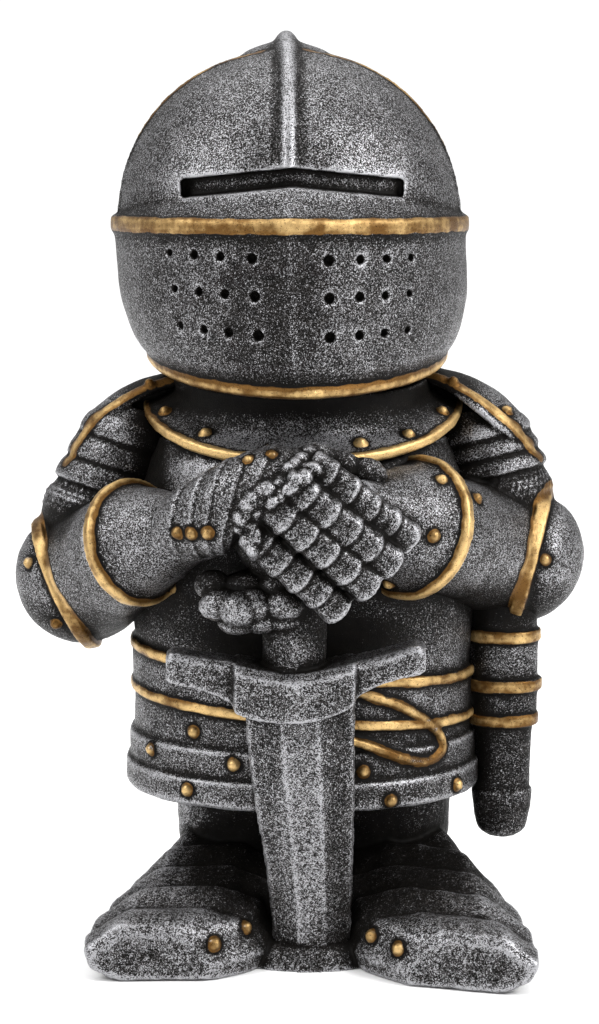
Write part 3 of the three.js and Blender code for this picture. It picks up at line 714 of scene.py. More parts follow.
# %% [markdown]
# ## Arms
#
# Each arm has an upper arm of three rounded lames over a band of mail, a round elbow cop, a forearm and a
# flared cuff. The same functions make both; only the measures differ, because the arms are not alike.

# %% Measures of the arms
def v(*values):
    return np.array(values, float)


ARMS = [
    {"shoulder": v(-47.5, 1, 149), "elbow": v(-63, 5, 103), "lames": [7, 14.5, 22], "swell": 0.84, "girth": 17.8,
     "mail": 18.5, "links": 5, "cop": v(-62.6, 2, 104.4), "cop_radius": 20.3, "cop_rim": 17,
     "cop_axis": v(-0.91, 0.02, -0.4), "cuff": v(-45.5, -31, 118.8), "cuff_radius": 17,
     "wrist": v(-27, -49, 126)},
    {"shoulder": v(51.4, 1, 149), "elbow": v(61, 5, 110), "lames": [5, 10.6, 16.2], "swell": 0.86, "girth": 17.4,
     "mail": 17.2, "links": 4, "cop": v(63, 2, 110.5), "cop_radius": 20, "cop_rim": 11,
     "cop_axis": v(0.97, -0.09, -0.24), "cuff": v(31.2, -36, 123.8), "cuff_radius": 19.2,
     "wrist": v(15, -54, 130.5)},
]
# Rivets where the photograph shows them, on the cops, cuffs and wrist
ARM_RIVETS = [[-77.7, 109.8], [-70, 92.4], [69.8, 111.7], [-35.3, 105.5], [-33.2, 108.3], [38.7, 137.9],
              [36.1, 124], [24.4, 109.2], [49, 131.3], [-42.8, 160.9], [43.7, 161.7], [59.4, 153.2]]


# %% Upper arms and their mail
def shoulder_fill(shoulder):
    """What closes the space between the shoulder plate, the arm and the collar."""
    side = math.copysign(1, shoulder[0])
    return [ball(shoulder + v(0, 3, -3), (13, 13, 9)), ball(v(39 * side, 6, 153), (14, 12, 8.4))]


def upper_arm(shoulder, elbow, lames, swell, girth, mail, links):
    down = unit(elbow - shoulder)
    frame_of = square_to(down)
    width = lames[1] - lames[0]
    rows = [[-4, 10]]
    for i, edge in enumerate(lames):
        size = swell + (1 - swell) * i / 2
        rows += [[edge - width + 0.4, girth * size - 2.3], [edge - width + 1.6, girth * size - 1.2],
                 [edge - 1.2, girth * size], [edge - 0.4, girth * size - 0.1]]
    rows += [[lames[2] + 0.5, girth - 1.8], [lames[2] + 5.5, mail], [np.linalg.norm(elbow - shoulder), 16]]
    rows = refined(rows)

    def around_arm(distance, radius, degrees):
        along = distance - 0.2 * radius * np.cos(np.radians(degrees))
        return circle(shoulder + along[..., None] * down, down, np.asarray(radius)[..., None], degrees,
                      frame_of=frame_of)

    angles = np.arange(90) * 4.0
    form = loft([around_arm(distance, radius, angles) for distance, radius in rows])
    places, turns = [], []
    for row in range(links):
        distance = lames[2] + 1.8 + 1.75 * row
        radius = np.interp(distance, rows[:, 0], rows[:, 1]) + 0.1
        for degrees in np.arange(0, 360, 7.2) + 3.6 * (row % 2):
            at = around_arm(np.array(distance), radius, np.array(degrees))
            out = unit(at - shoulder - down * np.dot(at - shoulder, down))
            side = unit(np.cross(down, out))
            slanted = unit(side + 0.5 * down)
            places.append(at)
            turns.append(turn_of(slanted, unit(np.cross(out, slanted)), out))
    link = ball((0, 0, 0), (1.05, 0.5, 0.42), 8)
    return [form, *shoulder_fill(shoulder), repeated(link, places, turns, np.ones((len(places), 3)))]


# %% Elbows, forearms and cuffs
def fore_arm(elbow, cop, cop_radius, cop_rim, cop_axis, cuff, cuff_radius, wrist):
    reach = cuff - elbow
    arm = turned(elbow, unit(reach), [[0, 19.2], [np.linalg.norm(reach), 15.6]])
    towards = unit(wrist - cuff)
    length = np.linalg.norm(wrist - cuff)
    flare = turned(cuff, towards, [[-1.9, cuff_radius - 1], [-1.4, cuff_radius + 0.9],
                                   [1.2, cuff_radius + 1.1], [2, cuff_radius - 0.6],
                                   [length * 0.4, cuff_radius * 0.78], [length * 0.75, cuff_radius * 0.6],
                                   [length + 2, 9]], 90)
    axis = unit(cop_axis)

    def ball_row(lift, proud=0):
        return [(cop_radius + proud) * math.sin(math.radians(lift)),
                (cop_radius + proud) * math.cos(math.radians(lift))]

    cup = turned(cop, axis, [ball_row(cop_rim - 9, -3), ball_row(cop_rim - 6), ball_row(cop_rim - 5, 1.3),
                             ball_row(cop_rim + 5, 1.3), ball_row(cop_rim + 6), ball_row(32), ball_row(45),
                             ball_row(60), ball_row(75), ball_row(86)], 90)
    along, radius = ball_row(cop_rim, 1.4)
    gild("arms", circle(cop + along * axis, axis, radius, ALL_ROUND), 2.9)
    gild("arms", circle(cuff - 0.1 * towards, towards, cuff_radius + 1, ALL_ROUND), 2.7)
    return [arm, flare, cup]


# %% [markdown]
# The shoulder plates are shells over the shoulders with a rolled edge front and back. They are widest
# halfway down, so their sections are laid out by an angle over the shoulder.

# %% Shoulder plates
PAULDRONS = [{"centre": v(-29.8, 4, 134.6), "spread": 4.5}, {"centre": v(32.2, 4, 135.9), "spread": 8.5}]
PAULDRON_RADII = v(37.4, 29, 29)
PAULDRON_EDGE = [[-0.9, -1.8], [-1.08, -0.9], [-1.1, 0.5], [-1.02, 1.4], [-0.86, 1.3], [-0.78, 0], [-0.4, 0.4],
                 [0, 0.5], [0.4, 0.4], [0.78, 0], [0.86, 1.3], [1.02, 1.4], [1.1, 0.5], [1.08, -0.9],
                 [0.9, -1.8], [0, -4]]


def pauldron(centre, spread):
    side = math.copysign(1, centre[0])
    outline = curve_through(PAULDRON_EDGE, 4, closed=True)

    def over_shoulder(degrees, part, proud):
        out, up = math.cos(math.radians(degrees)), math.sin(math.radians(degrees))
        depth = part * (8 + spread * math.sin(math.radians(degrees * 2)))
        share = np.sqrt(1 - (depth / PAULDRON_RADII[1]) ** 2)
        return centre + np.stack([side * out * (PAULDRON_RADII[0] * share + proud), depth,
                                  up * (PAULDRON_RADII[2] * share + proud)], -1)

    for front in (-0.96, 0.96):
        line = [over_shoulder(degrees, np.array(front), 1.5) for degrees in np.linspace(86, 8, 60)]
        gild("arms", line, 2.2)
    return loft([over_shoulder(degrees, outline[:, 0], outline[:, 1]) for degrees in np.linspace(86, 8, 60)])


arm_parts = [pauldron(**measures) for measures in PAULDRONS]
for measures in ARMS:
    upper = {key: measures[key] for key in ("shoulder", "elbow", "lames", "swell", "girth", "mail", "links")}
    lower = {key: measures[key] for key in ("elbow", "cop", "cop_radius", "cop_rim", "cop_axis", "cuff",
                                            "cuff_radius", "wrist")}
    arm_parts += upper_arm(**upper) + fore_arm(**lower)
arms = {"parts": [*arm_parts, studs("arms", seated(arm_parts, ARM_RIVETS), 1.65)]}
print("arm forms:", len(arms["parts"]))

# %% [markdown]
# ## Hands
#
# The knight's right hand lies on top, its gauntlet fingers running down over the left hand. Each finger is a
# row of overlapping scales. One scale is modelled, and Geometry Nodes lay copies along the bowed fingers,
# each turned to the finger's slope there.

# %% One scale, and fingers made of them
SCALE_LENGTH = 8.3


def finger_scale():
    rings = []
    angles = np.radians(np.arange(24) * 15)
    for along, size in refined([[-1.2, 0.6], [0, 0.82], [4.6, 0.98], [6.4, 1.1], [8, 1.13], [8.7, 1.02],
                                [9, 0.7]], 0.5):
        across = 3.95 * (0.55 + 0.45 * size) * bend(np.cos(angles), 3)
        out = 4.0 * size * bend(np.sin(angles), 2.2)
        back = 1.3 * (across / 3.95) ** 2 * soft_step(3, 8, along)
        rings.append(np.stack([across, along - back, np.where(out > 0, out, out * 0.7)], 1))
    return loft(rings)


def finger_places(root, tip, across, count, half=4.7, thick=4, bow=2.5):
    along = unit(tip - root)
    out = unit(np.cross(along, across))
    out = -out if out[1] > 0 else out
    length = np.linalg.norm(tip - root)
    places, turns, stretches = [], [], []
    for i in range(count):
        t = i / count
        rise = bow * math.pi / length * math.cos(math.pi * (t + 0.5 / count))
        forward = unit(along + rise * out)
        side = unit(np.cross(forward, out))
        places.append(root + along * length * t + out * bow * math.sin(math.pi * t))
        turns.append(turn_of(side, forward, unit(np.cross(side, forward))))
        stretches.append([half / 3.95, length / count / SCALE_LENGTH, thick / 4])
    return places, turns, stretches


KNUCKLES = [v(-13.2, -62.5, 126), v(-7.6, -64.5, 133.4), v(-2.2, -64, 139.2), v(3.2, -60.5, 144.2)]
TIPS = [v(11, -61, 105), v(19, -62, 111.2), v(25, -60.5, 117), v(29.5, -56, 123)]
HAND_ACROSS = unit(KNUCKLES[3] - KNUCKLES[0])


def fingers():
    rows = [finger_places(root, tip, HAND_ACROSS, 5) for root, tip in zip(KNUCKLES, TIPS)]
    places, turns, stretches = (sum(column, []) for column in zip(*rows))
    return repeated(finger_scale(), places, turns, stretches)


# %% [markdown]
# The fingers of the lower hand and its thumb show only as rounded joints that curl round the grip, so each
# is a short row of stretched balls. The knuckles of the upper hand are a rough row of small lumps.

# %% Curled fingers, thumb and knuckles
CURLED = [(v(-6, -54, 110.6), v(-23.4, -51.5, 110.4), 3, 4.2), (v(-4, -57, 105.8), v(-21, -55, 105.4), 3, 4.6),
          (v(-4, -55, 101.4), v(-16.6, -54.5, 101), 3, 4.2), (v(5, -54, 145.2), v(18, -51.5, 140.8), 3, 4.3)]
KNUCKLE_ROW = [[-14, 123.8], [-15, 130.5], [-11.6, 136.2], [-4.5, 140.8], [2.4, 145.8]]


def curled_fingers():
    joints = ball((0, 0, 0), (1, 1, 1), 16)
    rng = np.random.default_rng(3)
    places, turns, stretches = [], [], []
    for root, tip, count, radius in CURLED:
        along = unit(tip - root)
        out = unit(np.cross(along, [0, 0, 1]))
        for i in range(count):
            places.append(root + (tip - root) * i / (count - 1))
            turns.append(turn_of(along, out, unit(np.cross(along, out))))
            stretches.append(radius * rng.uniform([1.15, 0.8, 0.75], [1.4, 1.1, 1.1]))
    return repeated(joints, places, turns, stretches)


def knuckles(under):
    rng = np.random.default_rng(7)
    row = curve_through(KNUCKLE_ROW, 6)
    rows = np.vstack([row, row + [2.2, -1.9]])
    places = seated(under, rows + rng.uniform(-0.9, 0.9, rows.shape))
    lump = ball((0, 0, 0), (2.2, 2.2, 2.2), 12)
    return repeated(lump, places, rng.uniform(0, 3, places.shape), rng.uniform(0.75, 1.35, places.shape))


# %% Palm and the back of the hand
# Each section: the low end across and up, the top end across and up, its middle's y, half its thickness
HAND_BACK = [[-35, 117.4, -34, 133.6, -45, 9], [-28.6, 118, -27, 139.2, -50, 9.6],
             [-23.6, 118.4, -20.8, 143.4, -53, 10.2], [-20.2, 119.4, -14.4, 146.6, -54.8, 10.8],
             [-18.2, 121.4, -7, 148.6, -55.6, 10.8], [-17, 123.6, 0.8, 148, -56, 10], [-12, 127, 3, 144, -56, 6]]
HAND_LAMES = [0.9, 1.7, 2.5, 3.3, 4.1]
HAND_RIVETS = [[-32.6, 125.5], [-28.6, 125.7], [-24.2, 126.2]]
TOP_RIVETS = [[-13.6, 145.6], [-7.2, 146.8]]


def hand_back():
    sections = np.array(HAND_BACK)
    steps = np.arange(len(sections), dtype=float)
    at = np.linspace(0, steps[-1], 120)
    measures = eased(steps, sections, at)
    low = measures[:, [0, 4, 1]]
    top = measures[:, [2, 4, 3]]
    middle, across = (low + top) / 2, (top - low) / 2
    path = np.gradient(middle, axis=0)
    out = unit(np.cross(across, path))
    out = np.where(out[:, 1:2] > 0, -out, out)
    lift = np.zeros(len(at))
    for edge, before in zip(HAND_LAMES, [0.1, *HAND_LAMES]):
        lift += 0.6 * np.clip((at - before) / (edge - before), 0, 1) * (at < edge)
    angles = np.radians(np.arange(80) * 4.5)[:, None]
    rings = []
    for centre, side, front, thick, proud in zip(middle, across, out, measures[:, 5], lift):
        more = 1 + proud / np.linalg.norm(side)
        rings.append(centre + bend(np.cos(angles), 2.2) * side * more + bend(np.sin(angles), 2.2) * front * (thick + proud))
    return loft(rings)


palms = [ball((4, -50, 124), (22, 12, 16), 60), ball((-11, -49, 106), (13, 8, 8.5), 40)]
fist = ball((-16.4, -57, 104.6), (5.4, 4.8, 4.8), 30)
hand_parts = [fingers(), curled_fingers(), hand_back(), fist, *palms]
hand_parts.append(knuckles(hand_parts))
hand_studs = [studs("hands", seated(hand_parts, HAND_RIVETS), 1.65), studs("hands", seated(hand_parts, TOP_RIVETS), 1.3)]
hands = {"parts": [*hand_parts, *hand_studs, *sword()]}
print("hand forms:", len(hands["parts"]))

# %% [markdown]
# ## Fusing the forms
#
# The real figure is one casting, so forms that meet have no gap between them. Each group is fused by a voxel
# remesh, which follows the outside of everything that overlaps and gives even points for the paint. The
# helmet's slot and breaths are cut by a Boolean between two such passes. A gentle smoothing that keeps the
# volume takes off what the voxels leave.

# %% Fuse, cut and smooth
def neighbours(mesh):
    edges = np.empty(len(mesh.edges) * 2, int)
    mesh.edges.foreach_get("vertices", edges)
    return edges.reshape(-1, 2)


def averaged(values, edges, degree):
    """The mean of each point's neighbours."""
    a, b = edges[:, 0], edges[:, 1]
    count = len(values)
    columns = [np.bincount(a, column[b], count) + np.bincount(b, column[a], count) for column in values.T]
    return np.stack(columns, 1) / degree[:, None]


def smoothed(points, edges, rounds, shares=(0.5,)):
    degree = np.maximum(np.bincount(edges.ravel(), minlength=len(points)), 1)
    for _ in range(rounds):
        for share in shares:
            points = points + share * (averaged(points, edges, degree) - points)
    return points


def normals_of(points, faces):
    a, b, c = (points[faces[:, k]] for k in range(3))
    face = np.cross(b - a, c - a)
    total = np.stack([np.bincount(faces.ravel(), np.repeat(face[:, k], 3), len(points)) for k in range(3)], 1)
    return total / np.maximum(np.linalg.norm(total, axis=1, keepdims=True), 1e-12)


def hand_made(points, normals, depth, rough):
    """The slight unevenness of forms modelled in clay, broad and fine."""
    swell = np.array([depth * clay.noise(at * 0.2) + rough * clay.noise(at * 0.9) for at in map(Vector, points)])
    return points + normals * swell[:, None]


def fused(name, parts, grain, cuts=()):
    holder = object_of(name, *joined(parts))
    for step in range(2 if cuts else 1):
        if step == 1:
            cutter = object_of("cutter", *joined(list(cuts)))
            boolean = holder.modifiers.new("cut", "BOOLEAN")
            boolean.operation, boolean.solver, boolean.object = "DIFFERENCE", "MANIFOLD", cutter
        remesh = holder.modifiers.new("fuse", "REMESH")
        remesh.mode, remesh.voxel_size = "VOXEL", grain
    mesh = evaluated_mesh(holder)
    if cuts:
        bpy.data.objects.remove(cutter)
    print(name, "fused:", len(mesh.vertices), "points")
    return mesh


def without_pockets(mesh):
    """Drops closed pockets inside the form and stray crumbs."""
    edges = neighbours(mesh)
    label = np.arange(len(mesh.vertices))
    while True:
        low = np.minimum(label[edges[:, 0]], label[edges[:, 1]])
        new = label.copy()
        np.minimum.at(new, edges[:, 0], low)
        np.minimum.at(new, edges[:, 1], low)
        new = new[new]
        if (new == label).all():
            break
        label = new
    points, faces = arrays_of(mesh)
    a, b, c = (points[faces[:, k]] for k in range(3))
    volumes = np.bincount(label[faces[:, 0]], np.einsum("ij,ij->i", a, np.cross(b, c)) / 6,
                          minlength=len(points))
    drop = np.nonzero(volumes[label] < 2.0)[0]
    if len(drop):
        form = bmesh.new()
        form.from_mesh(mesh)
        form.verts.ensure_lookup_table()
        bmesh.ops.delete(form, geom=[form.verts[i] for i in drop], context="VERTS")
        form.to_mesh(mesh)
        form.free()
    return mesh


# Each group's forms, its grain, how uneven its clay is, broad and fine, and the most triangles that it keeps
GROUPS = {
    "helmet": (helmet, GRAIN, (0.12, 0.03), 170000), "body": (body, GRAIN, (0.18, 0.05), 185000),
    "legs": (feet, GRAIN, (0.35, 0.14), 150000), "hands": (hands, CLOSE_GRAIN, (0.25, 0.12), 190000),
    "arms": (arms, GRAIN, (0.18, 0.05), 190000), "dagger": (hip, CLOSE_GRAIN, (0.2, 0.08), 45000),
}
meshes = {}
for name, (group, grain, unevenness, most) in GROUPS.items():
    mesh = without_pockets(fused(name, group["parts"], grain, group.get("cuts", ())))
    edges = neighbours(mesh)
    points = smoothed(points_of(mesh), edges, 3, (0.5, -0.52))
    points = hand_made(points, normals_of(points, arrays_of(mesh)[1]), *unevenness)
    meshes[name] = (mesh, points, edges, most)

# %% [markdown]
# ## What the paint needs to know
#
# The maker brushes silver over black, and it catches on what stands up and misses what lies deep. Three
# attributes carry that: `edge` and `form` say how far a point stands above its smoothed surroundings, fine
# and coarse, and `open` says how much of the air above it is free. Where little air is free the paint is darker,
# partly as that missed brushing and partly as painted shade. `gilt` is the distance to the gilding.

# %% Height above the surroundings
def stands_up(points, normals, edges, rounds):
    return ((points - smoothed(points, edges, rounds)) * normals).sum(1)


# %% Free air
REACH = 16  # mm


def free_air(sample, normals, tree, rays=20):
    """The share of a cosine-weighted fan of rays that meets nothing near."""
    turn = np.pi * (3 - np.sqrt(5)) * np.arange(rays)
    radius = np.sqrt((np.arange(rays) + 0.5) / rays)
    fan = np.stack([radius * np.cos(turn), radius * np.sin(turn), np.sqrt(1 - radius ** 2)], 1)
    side = unit(np.cross(normals, np.where(np.abs(normals[:, 2:]) < 0.8, [[0, 0, 1]], [[1, 0, 0]])))
    other = np.cross(normals, side)
    free = np.zeros(len(sample))
    for i, (at, n, s, o) in enumerate(zip(sample, normals, side, other)):
        start = Vector(at + n * 0.8)
        for x, y, z in fan:
            hit = tree.ray_cast(start, Vector(s * x + o * y + n * z), REACH)
            free[i] += 1 if hit[0] is None else min(1, hit[3] / REACH) ** 1.5
    return free / rays


whole = object_of("whole", *joined([(points, arrays_of(mesh)[1]) for mesh, points, *_ in meshes.values()]))
coarse = whole.modifiers.new("coarse", "REMESH")
coarse.mode, coarse.voxel_size = "VOXEL", 1.3
blocker = BVHTree.FromObject(whole, bpy.context.evaluated_depsgraph_get())
bpy.data.objects.remove(whole)
SAMPLES = 11000

# %% [markdown]
# Some places are painted darker as shade that falls on them, and get little silver: the neck under the chin,
# the insteps, the belly behind the sword, and the gaps beside the arms. Each is a soft ellipsoid with a depth
# of painted shade. A depth below nought is a painted highlight, a place given more silver, such as the middle of
# the blade.

# %% Where painted shade and painted highlights lie
SHADE_AND_HIGHLIGHT_ZONES = {
    "body": [(v(-1, 0, 160), v(45, 47, 7.5), 1.9), (v(1, -40, 146), v(50, 16, 7), -0.6),
             (v(1, -34, 99), v(54, 24, 15), 0.48), (v(-1, -42, 93), v(38, 14, 8), 0.6),
             (v(-46, -12, 138), v(9, 22, 17), 1.7), (v(-27, -36, 136), v(16, 14, 9), -0.6),
             (v(32, -40, 55), v(22, 24, 12), 0.2)],
    "legs": [(v(-14, -10, 22), v(21, 40, 22), 1), (v(27, -12, 22), v(30, 40, 20), 1),
             (v(-34, -11, 33), v(8, 12, 7), -0.45), (v(37, -11, 33), v(8, 12, 7), -0.45),
             (v(3, -42, 6), v(16, 14, 9), 0.45)],
    "arms": [(v(-41, -6, 146), v(8, 22, 13), 0.7), (v(-58, -8, 138), v(16, 16, 14), 0.22),
             (v(-64, -6, 121), v(16, 18, 7), 0.8), (v(60, -8, 136), v(17, 18, 14), 0.34),
             (v(-39, 0, 158), v(13, 16, 8), 1), (v(40, 0, 158), v(13, 16, 8), 1), (v(-60, 0, 92), v(26, 34, 9), 0.5),
             (v(50, -8, 98), v(30, 34, 10), 0.6)],
    "hands": [(v(13, -52, 143), v(13, 12, 7), 0.4), (v(-24, -48, 114), v(12, 14, 6), 0.8),
              (v(2, -48, 100), v(14, 12, 8), 0.5), (v(4, -62, 126), v(32, 20, 30), 0.14),
              (v(0.5, -52, 45), v(7, 26, 46), -0.26),
              (v(13, -50, 45), v(6, 20, 44), 0.2)],
    "dagger": [(v(60, -5, 97), v(15, 15, 9), 1), (v(60, -5, 50), v(17, 17, 34), 0.5)],
    "helmet": [(v(-6, -50, 184), v(16, 18, 24), 0.3), (v(-3, 0, 206.5), v(64, 66, 3), 0.5),
               (v(-2, -20, 162.5), v(48, 44, 7), 0.3), (v(-3, -44, 184), v(54, 30, 24), 0.1),
               (v(-2, -36, 219), v(34, 13, 4.5), -0.6)],
}


# Each point's depth of painted shade; below nought, its depth of painted highlight.
def shade_and_highlight_depth(name, points):
    depth = np.zeros(len(points))
    for centre, reach, share in SHADE_AND_HIGHLIGHT_ZONES[name]:
        away = np.linalg.norm((points - centre) / reach, axis=1)
        depth += share * soft_step(1.25, 0.6, away)
    return depth


def thinned(mesh, most):
    """The mesh with no more triangles than it may have; what the points know is carried along."""
    holder = bpy.data.objects.new("thinned", mesh)
    bpy.context.scene.collection.objects.link(holder)
    decimate = holder.modifiers.new("thin", "DECIMATE")
    decimate.ratio = min(1, most / len(mesh.loop_triangles))
    decimate.use_collapse_triangulate = True
    return evaluated_mesh(holder)


# %% [markdown]
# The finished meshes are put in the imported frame: moved back, made metres, and kept above the ground.

# %% Finished pieces
LOOK = {"helmet": "helmet", "body": "trunk_and_collar", "legs": "legs_and_sabatons",
        "hands": "hands_and_sword", "arms": "arms_and_pauldrons", "dagger": "dagger_in_sheath"}
pieces = []
for name, (mesh, points, edges, most) in meshes.items():
    faces = arrays_of(mesh)[1]
    normals = normals_of(points, faces)
    values = {"edge": stands_up(points, normals, edges, 8), "form": stands_up(points, normals, edges, 90)}
    step = max(1, len(points) // SAMPLES)
    known = KDTree(len(points[::step]))
    for i, at in enumerate(points[::step]):
        known.insert(at, i)
    known.balance()
    # How free the air is above each point; the material darkens closed-in points with it, partly as painted shade.
    free = free_air(points[::step], normals[::step], blocker)
    near = np.array([[hit[1] for hit in known.find_n(at, 3)] for at in points])
    values["open"] = smoothed(free[near].mean(1)[:, None], edges, 6)[:, 0]
    values["gilt"] = np.full(len(points), 9.0)
    if name in gilding:
        lines = np.vstack(gilding[name])
        paint = KDTree(len(lines))
        for i, at in enumerate(lines):
            paint.insert(at[:3], i)
        paint.balance()
        found = [paint.find(at) for at in points]
        values["gilt"] = np.array([hit[2] - lines[hit[1], 3] for hit in found])
    values["shade_and_highlight"] = shade_and_highlight_depth(name, points)
    placed = (points + [0, SET_BACK, 0]) * MM
    placed[:, 2] = np.maximum(placed[:, 2], 0)
    mesh.vertices.foreach_set("co", placed.ravel())
    for label, column in values.items():
        mesh.attributes.new(label, "FLOAT", "POINT").data.foreach_set("value", column)
    mesh.update()
    mesh = thinned(mesh, most)
    mesh.shade_smooth()
    mesh.materials.clear()
    mesh.materials.append(antiqued_silver_and_painted_light)
    piece = bpy.data.objects.new(LOOK[name], mesh)
    bpy.context.scene.collection.objects.link(piece)
    pieces.append(piece)
    print(piece.name, len(mesh.loop_triangles), "triangles;",
          {label: [round(float(q), 2) for q in np.percentile(column, (2, 50, 98))]
           for label, column in values.items()})

# %% [markdown]
# ## The finish
#
# One material covers the casting, as one paint job does. Fine noise decides which grains took silver; the
# attributes move its threshold, so edges shine and recesses stay black. Closed-in places are darker partly as
# missed brushing and partly as painted shade, faces that turn up are a little lighter as painted light, and the
# zones add painted shade and painted highlights. Gold is painted where `gilt` is below nought, with a wavering
# edge and a thin dark line beside it, and is lighter in the middle of each band as painted highlight.

# %% Material helpers
silver_tree = None


def shade_node(kind, inputs={}, **settings):
    return node(silver_tree, kind, inputs, **settings)


def calc(operation, a, b=0.0, c=0.0):
    made = shade_node("ShaderNodeMath", {0: a, 1: b, 2: c}, operation=operation)
    return made.outputs[0]


def ramp(value, low, high, to_low=0.0, to_high=1.0):
    made = shade_node("ShaderNodeMapRange", {0: value, 1: low, 2: high, 3: to_low, 4: to_high},
                      interpolation_type="SMOOTHSTEP")
    return made.outputs[0]


def noise(place, scale, detail=2.0, rough=0.5):
    made = shade_node("ShaderNodeTexNoise", {"Vector": place, "Scale": scale, "Detail": detail,
                                             "Roughness": rough})
    return made.outputs[0]


def blend_colour(share, a, b):
    made = shade_node("ShaderNodeMix", {0: share, 6: a, 7: b}, data_type="RGBA")
    return made.outputs[2]


def blend_value(share, a, b):
    made = shade_node("ShaderNodeMix", {0: share, 2: a, 3: b}, data_type="FLOAT")
    return made.outputs[0]


def attribute(name):
    return shade_node("ShaderNodeAttribute", {}, attribute_name=name).outputs["Fac"]


# %% Antiqued silver with gilded edges, painted shade and painted highlights
antiqued_silver_and_painted_light.use_nodes = True
silver_tree = antiqued_silver_and_painted_light.node_tree
silver_tree.nodes.clear()
place = shade_node("ShaderNodeTexCoord").outputs["Object"]
grain = noise(place, 1800.0, 3.0, 0.65)
dust = noise(place, 3600.0, 1.0)
patches = noise(place, 130.0, 3.0)
tint = noise(place, 420.0, 2.0)
edge, form, free, shade_and_highlight = attribute("edge"), attribute("form"), attribute("open"), attribute("shade_and_highlight")

# Faces that turn up get a little more silver: painted light from above.
up = shade_node("ShaderNodeSeparateXYZ", {0: shade_node("ShaderNodeNewGeometry").outputs["Normal"]}).outputs[2]
raised = calc("ADD", calc("MULTIPLY", edge, 1.7), calc("MULTIPLY", form, 0.06))
# Closed-in points get less silver, partly as brushing that missed them and partly as painted shade.
relief_and_painted_light = calc("MULTIPLY_ADD", calc("SUBTRACT", free, 0.95), 0.6, calc("MULTIPLY_ADD", up, 0.02, raised))
# The zones take silver away as painted shade, and add it as painted highlight where their depth is below nought.
relief_and_painted_light = calc("MULTIPLY_ADD", shade_and_highlight, -0.36, relief_and_painted_light)
brushed_and_painted_light = calc("ADD", relief_and_painted_light, calc("MULTIPLY_ADD", patches, 0.20, -0.11))
speck = calc("ADD", calc("MULTIPLY", grain, 0.55), calc("MULTIPLY", dust, 0.45))
brightness = calc("ADD", calc("MULTIPLY_ADD", speck, 2.2, -0.65), brushed_and_painted_light)

wobble = calc("MULTIPLY_ADD", noise(place, 200.0, 2.0), 1.5, -0.75)
gilt_distance = calc("ADD", attribute("gilt"), wobble)
gilt_share = ramp(gilt_distance, 0.16, -0.16)
outline = calc("MULTIPLY", ramp(gilt_distance, 1.15, 0.25), 0.3)
shaded = calc("SUBTRACT", brightness, outline)
worn = ramp(speck, 0.42, 0.34)

black = blend_colour(tint, (0.002, 0.002, 0.002, 1), (0.007, 0.006, 0.005, 1))
pewter = blend_colour(tint, (0.034, 0.034, 0.036, 1), (0.058, 0.052, 0.050, 1))
silver = (0.38, 0.38, 0.395, 1)
metal = blend_colour(ramp(shaded, 0.34, 0.50), black, pewter)
metal = blend_colour(ramp(shaded, 0.52, 0.78), metal, silver)
# The middle of each gold band is lighter than its sides: a painted highlight of the rolled band.
middle = calc("MULTIPLY", ramp(gilt_distance, -0.3, -1.3), 0.22)
gold_tone_and_painted_light = calc("ADD", calc("MULTIPLY_ADD", patches, 1.1, calc("MULTIPLY", tint, 0.5)), middle)
# Raised gold edges are lighter as painted highlight, and the zones darken the gold as painted shade; the patches and
# tint are the gold's own uneven tone.
gold_tone_and_painted_light = ramp(calc("MULTIPLY_ADD", shade_and_highlight, -0.5, calc("MULTIPLY_ADD", edge, 1.2, gold_tone_and_painted_light)), 0.74, 1.34)
gold = blend_colour(gold_tone_and_painted_light, (0.12, 0.060, 0.017, 1), (0.62, 0.42, 0.18, 1))
gold_seen = calc("MULTIPLY", gilt_share, calc("MULTIPLY_ADD", worn, -0.75, 1.0))
colour = blend_colour(gold_seen, metal, gold)
silver_share = ramp(shaded, 0.38, 0.60)
rough = blend_value(gold_seen, blend_value(silver_share, 0.45, 0.36), 0.36)
metallic = blend_value(gold_seen, calc("MULTIPLY", silver_share, 0.7), 0.7)
bump = shade_node("ShaderNodeBump", {"Height": calc("ADD", speck, calc("MULTIPLY", patches, 0.6)),
                                     "Strength": 0.5, "Distance": 0.00035})
surface = shade_node("ShaderNodeBsdfPrincipled", {"Base Color": colour, "Roughness": rough,
                                                  "Specular IOR Level": 0.05,
                                                  "Metallic": metallic, "Normal": bump.outputs[0]})
shade_node("ShaderNodeOutputMaterial", {0: surface.outputs[0]})
print("finish:", len(silver_tree.nodes), "nodes")

# %% [markdown]
# ## Studio and camera
#
# The picture is a plain product shot: a pale floor, white all round, and soft light from above and in
# front. The camera stands 700 mm away and 8 degrees above the horizon.

# %% Floor, light and camera
def plain_material(name, colour, rough):
    made = bpy.data.materials.new(name)
    made.use_nodes = True
    principled = made.node_tree.nodes["Principled BSDF"]
    principled.inputs["Base Color"].default_value = (*colour, 1)
    principled.inputs["Roughness"].default_value = rough
    return made


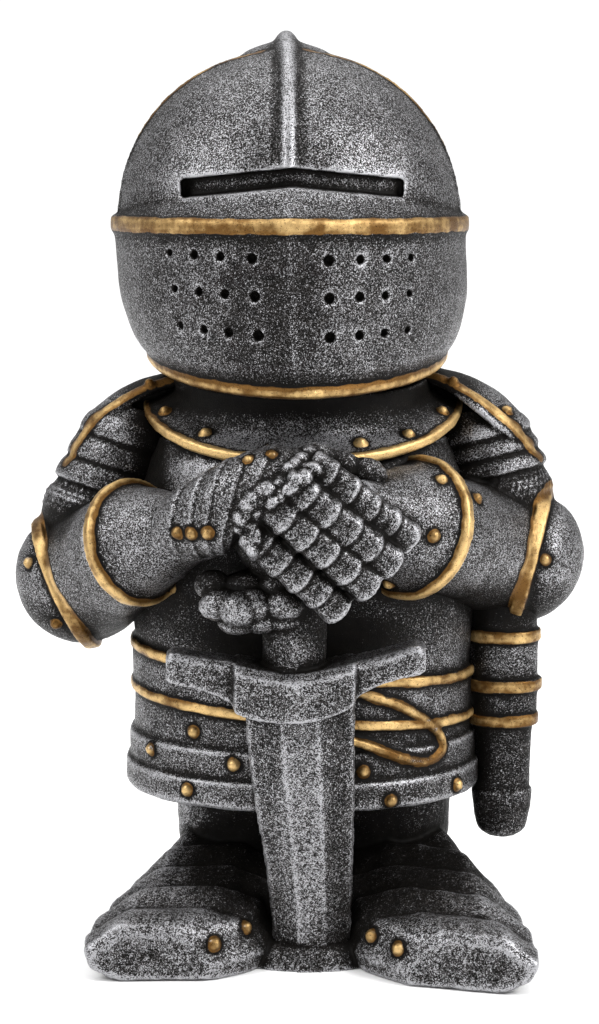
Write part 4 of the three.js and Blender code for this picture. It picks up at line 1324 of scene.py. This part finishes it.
def area_light(name, at, aim, size, watts):
    data = bpy.data.lights.new(name, "AREA")
    data.shape, data.size, data.size_y, data.energy = "RECTANGLE", *size, watts
    made = bpy.data.objects.new(name, data)
    made.location = at
    made.rotation_euler = (Vector(aim) - Vector(at)).to_track_quat("-Z", "Y").to_euler()
    bpy.context.scene.collection.objects.link(made)


floor = object_of("floor", [[-6, -6, 0], [6, -6, 0], [6, 6, 0], [-6, 6, 0]], [[0, 1, 2, 3]])
floor.data.materials.append(plain_material("pale_floor", (0.97, 0.97, 0.97), 0.8))

AIM = (0, 0.01, 0.13)
area_light("left_softbox", (-0.95, -0.5, 0.95), AIM, (0.5, 0.5), 11)
area_light("right_softbox", (0.95, -0.5, 0.85), AIM, (0.5, 0.5), 16)
sky = bpy.data.objects.new("overhead", bpy.data.lights.new("overhead", "SUN"))
sky.data.energy, sky.data.angle = 2.2, math.radians(70)
sky.rotation_euler = (math.radians(-12), 0, 0)
bpy.context.scene.collection.objects.link(sky)

world = bpy.data.worlds.new("studio")
bpy.context.scene.world = world
world.use_nodes = True
sees = node(world.node_tree, "ShaderNodeLightPath")
white = world.node_tree.nodes["Background"]
white.inputs["Color"].default_value = (1, 1, 1, 1)
bright = node(world.node_tree, "ShaderNodeMapRange", {0: sees.outputs["Is Camera Ray"], 3: 0.5, 4: 1.1})
world.node_tree.links.new(bright.outputs[0], white.inputs["Strength"])

CAMERA = {"distance": 0.7, "lift": math.radians(8), "aim": Vector((0, SET_BACK * MM, 0.123)), "lens": 84.66}
camera = bpy.data.objects.new("camera", bpy.data.cameras.new("camera"))
camera.data.lens, camera.data.sensor_width, camera.data.clip_start = CAMERA["lens"], 36, 0.01
back = Vector((0, -math.cos(CAMERA["lift"]), math.sin(CAMERA["lift"])))
camera.location = CAMERA["aim"] + CAMERA["distance"] * back
camera.rotation_euler = (-back).to_track_quat("-Z", "Y").to_euler()
bpy.context.scene.collection.objects.link(camera)
bpy.context.scene.camera = camera
bpy.context.scene.view_settings.view_transform = "Standard"

# %% [markdown]
# Every piece is part of the one casting. It rides on the only body, and the CAD solid that it stands for is hidden.

# %% Tying the pieces to the frame
for piece in pieces:
    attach(piece, "root")
    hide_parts("knight_figure")
